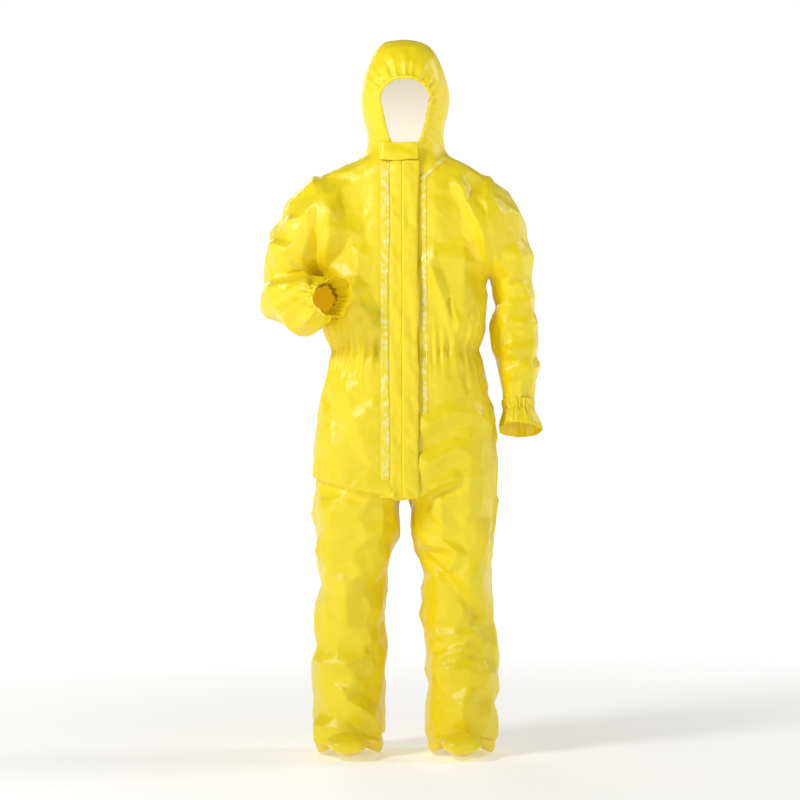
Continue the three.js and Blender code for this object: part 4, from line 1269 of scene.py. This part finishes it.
def chin_flap(skin_tree):
    """The flap over the top of the zip, under the chin."""
    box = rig.box("chin_flap")
    x0, x1 = box[0][0], box[1][0] + 0.004

    def place(u, v):
        x = x0 + (x1 - x0) * u
        z = -0.004 + (0.047 - 0.004 * u) * v
        z += 0.0015 * math.sin(x * 60)
        y = front_y(skin_tree, x, min(z, CHIN_Z - 0.012), front_at(z))
        y = min(y, front_at(z) + 0.002)
        out = 0.0135 - 0.004 * v + 0.003 * math.sin(u * 3)
        out += noise.noise(Vector((x * 30 + z * 20, 1, z * 40))) * 0.0034
        out *= smoothstep(-0.05, 0.12, u)
        return Vector((x, y - out, z))

    piece = grid_piece("chin_flap_cloth", 40, 20, place)
    paint(piece, "laminate", laminate)
    thicken(piece, 0.0012, 0)
    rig.ride(piece, "chin_flap")
    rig.sheet(piece, flat=(x1 - x0 + 0.004, 0.050), held="laid", rests_on=["hood_skin"])
    return piece


def seam_strip(name, tree, path, width, body, steps=150):
    """A crinkled pale tape pressed over a seam. path gives x and z from one end, 0, to the other, 1."""

    def place(u, v):
        x, z = path(v)
        x2, z2 = path(v + 0.002)
        ahead = Vector((x2 - x, z2 - z)).normalized()
        off = (u - 0.5) * width * (1 + 0.16 * noise.noise(Vector((x * 40, 3, z * 45))))
        off += 0.0016 * noise.noise(Vector((1, x * 30, z * 24)))
        x, z = x + ahead.y * off, z - ahead.x * off
        y = front_y(tree, x, z, front_at(z))
        bump = abs(noise.noise(Vector((x * 220, 1, z * 110)))) * 0.0012 * math.sin(math.pi * u)
        return Vector((x, y - 0.0010 - bump, z))

    piece = grid_piece(name, 8, steps, place)
    paint(piece, "seam_tape", tape)
    thicken(piece, 0.0005, 0)
    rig.ride(piece, body)
    return piece


def right_placket(v):
    """Down the sewn edge of the storm flap."""
    return -0.0500 + 0.002 * math.sin(9 * v), -0.838 + 0.828 * v


def left_placket(v):
    """Down the other side of the closure, to the hips."""
    return 0.050 - 0.004 * v, -0.64 + 0.60 * v


def left_neck(v):
    """From the closure out along the collar."""
    return 0.036 + 0.066 * v, -0.050 + 0.060 * v**1.3


# ---- Materials and assembly ---------------------------------------------------------------------

# Spunbonded cloth under a thin polyethylene film: a soft gloss that breaks into flat facets
laminate = film("yellow_film_laminate", "F5DE14", "F0D60C", 0.38, 26.0, 0.006)
# The bare spunbonded side, matt and white, with a painted glow: emission that stands in for the lit lining of the hood
lining = plain("white_nonwoven", "F7F5F0", 0.8)
glowing(lining, (1, 0.99, 0.96), 0.12)
height = add(lining, "ShaderNodeSeparateXYZ", [(0, add(lining, "ShaderNodeTexCoord").outputs["Object"])])
links = [("Value", height.outputs["Z"])]
# Painted light and shade: the glow is strongest low in the hood and fades towards its top, which stays darker
rise = add(lining, "ShaderNodeMapRange", links, From_Min=0.06, From_Max=0.25, To_Min=0.32, To_Max=0.04)
shader = lining.node_tree.nodes["Principled BSDF"]
lining.node_tree.links.new(rise.outputs[0], shader.inputs["Emission Strength"])
# The inner face of the yellow film, with a painted golden glow: emission that stands in for light coming through it
inside = plain("yellow_inner_face", "E2C632", 0.7)
glowing(inside, (0.62, 0.47, 0.01), 0.3)
# Hot-pressed tape, whose lifted patches show as pale crinkles
tape = taped("crinkled_seam_tape", "F1E892", "F1DA24")

studio()
body = first_cloth(body_shape, "body")
left = first_cloth(left_shape, "left_sleeve")
right = first_cloth(right_shape, "right_sleeve")

base = crumple(body)
labels = label_faces(base, body.data)
normals = seam_normals(base, along_normals(body)[1])
pieces = {}
for name in ("body_skin", "hood_skin", "right_leg_top", "left_leg_top", "right_leg_end", "left_leg_end"):
    inner = lining if name == "hood_skin" else inside
    pieces[name] = take(body, labels, name, normals, (laminate, inner))
bpy.data.objects.remove(body)
for sleeve, wrist, ahead in ((left, LEFT_WRIST, LEFT_FORE), (right, RIGHT_WRIST, RIGHT_FORE)):
    base = crumple(sleeve)
    corners = np.array([np.mean(base[list(f.vertices)], axis=0) for f in sleeve.data.polygons])
    reach = corners - np.array(wrist)
    t = reach @ np.array(ahead)
    past = (t > 0) & (np.linalg.norm(reach - t[:, None] * np.array(ahead), axis=1) < 0.07)
    name = sleeve.name.replace("_sleeve", "_sleeve_skin")
    normals = seam_normals(base, along_normals(sleeve)[1])
    pieces[name] = take(sleeve, np.where(past, "", name), name, normals, (laminate, inside))
    bpy.data.objects.remove(sleeve)

front = tree_of(pieces["body_skin"], pieces["hood_skin"])
pieces["left_cuff_ruffle"] = cuff("left", LEFT_WRIST, LEFT_FORE, (1, 0, 0))
pieces["right_cuff_ruffle"] = cuff("right", RIGHT_WRIST, RIGHT_FORE, (-1, 0, 0))
pieces["face_hem"] = face_hem(front)
for side, word in ((1, "left"), (-1, "right")):
    pieces[word + "_hem_ruffle"] = leg_hem(word, side)
    pieces[word + "_sock_skin"] = sock(word, side)
flap = pieces["storm_flap_cloth"] = storm_flap()
pieces["chin_flap_cloth"] = chin_flap(front)
seam_strip("placket_seam_right", tree_of(flap), right_placket, 0.019, "storm_flap", 420)
pieces["placket_seam_left"] = seam_strip("placket_seam_left", front, left_placket, 0.013, "torso", 300)
seam_strip("neck_seam_left", front, left_neck, 0.011, "torso", 40)

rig.ride(pieces["body_skin"], "torso")
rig.blend(pieces["hood_skin"], "torso", "hood", start=(0, 0, NECK_LOW), end=(0, 0, NECK_HIGH))
for side, word in ((1, "left"), (-1, "right")):
    start, end = hip_line(side)
    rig.blend(pieces[word + "_leg_top"], "torso", word + "_thigh", start=start, end=end)
    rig.blend(
        pieces[word + "_leg_end"],
        word + "_thigh",
        word + "_shin",
        start=(0, 0, KNEE_TOP),
        end=(0, 0, KNEE_LOW),
    )
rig.blend(
    pieces["left_sleeve_skin"],
    "left_upper_arm",
    "left_forearm",
    start=(0, 0, -0.32),
    end=(0, 0, -0.44),
)
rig.blend(
    pieces["right_sleeve_skin"],
    "right_upper_arm",
    "right_forearm",
    start=RIGHT_ELBOW - RIGHT_UPPER * 0.084,
    end=RIGHT_ELBOW + RIGHT_FORE * 0.118,
)

# What shows when the flaps open: woven tape, smooth moulded teeth and the waxed paper on the adhesive
zip_cloth = film("yellow_polyester_zip_tape", "E6CC1E", "DCC018", 0.7, 3.0, 0.0006)
acetal = film("yellow_moulded_acetal", "E2C81C", "DFC318", 0.35, 2.0, 0.0001)
liner = film("white_paper_release_liner", "F3F1EA", "EBE8DE", 0.6, 6.0, 0.0004)
KEPT = {
    "zip_tape_right": zip_cloth,
    "zip_tape_left": zip_cloth,
    "zip_teeth_right": acetal,
    "zip_teeth_left": acetal,
    "zip_top_stop_right": acetal,
    "zip_top_stop_left": acetal,
    "zip_bottom_stop": acetal,
    "zip_slider": acetal,
    "zip_puller": acetal,
    "under_flap": laminate,
    "flap_adhesive": liner,
}
for name, made in KEPT.items():
    for place in bpy.data.objects[name].material_slots:
        place.material = made
STANDS_FOR = {
    "hood_skin": ("hood_centre_panel", "hood_side_right", "hood_side_left"),
    "face_hem": ("face_elastic_hem",),
    "storm_flap_cloth": ("storm_flap",),
    "chin_flap_cloth": ("chin_flap",),
    "placket_seam_left": ("placket_tape_left",),
}
for word in ("left", "right"):
    STANDS_FOR[word + "_sleeve_skin"] = (
        word + "_sleeve_upper",
        word + "_elbow_fold",
        word + "_sleeve_lower",
    )
    STANDS_FOR[word + "_cuff_ruffle"] = (word + "_cuff", word + "_cuff_elastic")
    STANDS_FOR[word + "_leg_top"] = (word + "_leg_upper", word + "_seat_fold")
    STANDS_FOR[word + "_leg_end"] = (word + "_leg_lower", word + "_knee_fold")
    STANDS_FOR[word + "_hem_ruffle"] = (word + "_hem_elastic",)
    STANDS_FOR[word + "_sock_skin"] = (word + "_sock",)
rest = set(frame["nodes"]) - set(KEPT)
for name, nodes in STANDS_FOR.items():
    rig.replaces(pieces[name], *nodes)
    rest -= set(nodes)
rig.replaces(pieces["body_skin"], *sorted(rest))
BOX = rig.bounds()
with open("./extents.json", "w") as file:
    json.dump([[list(c) for c in CAD_BOX], [list(c) for c in BOX]], file)
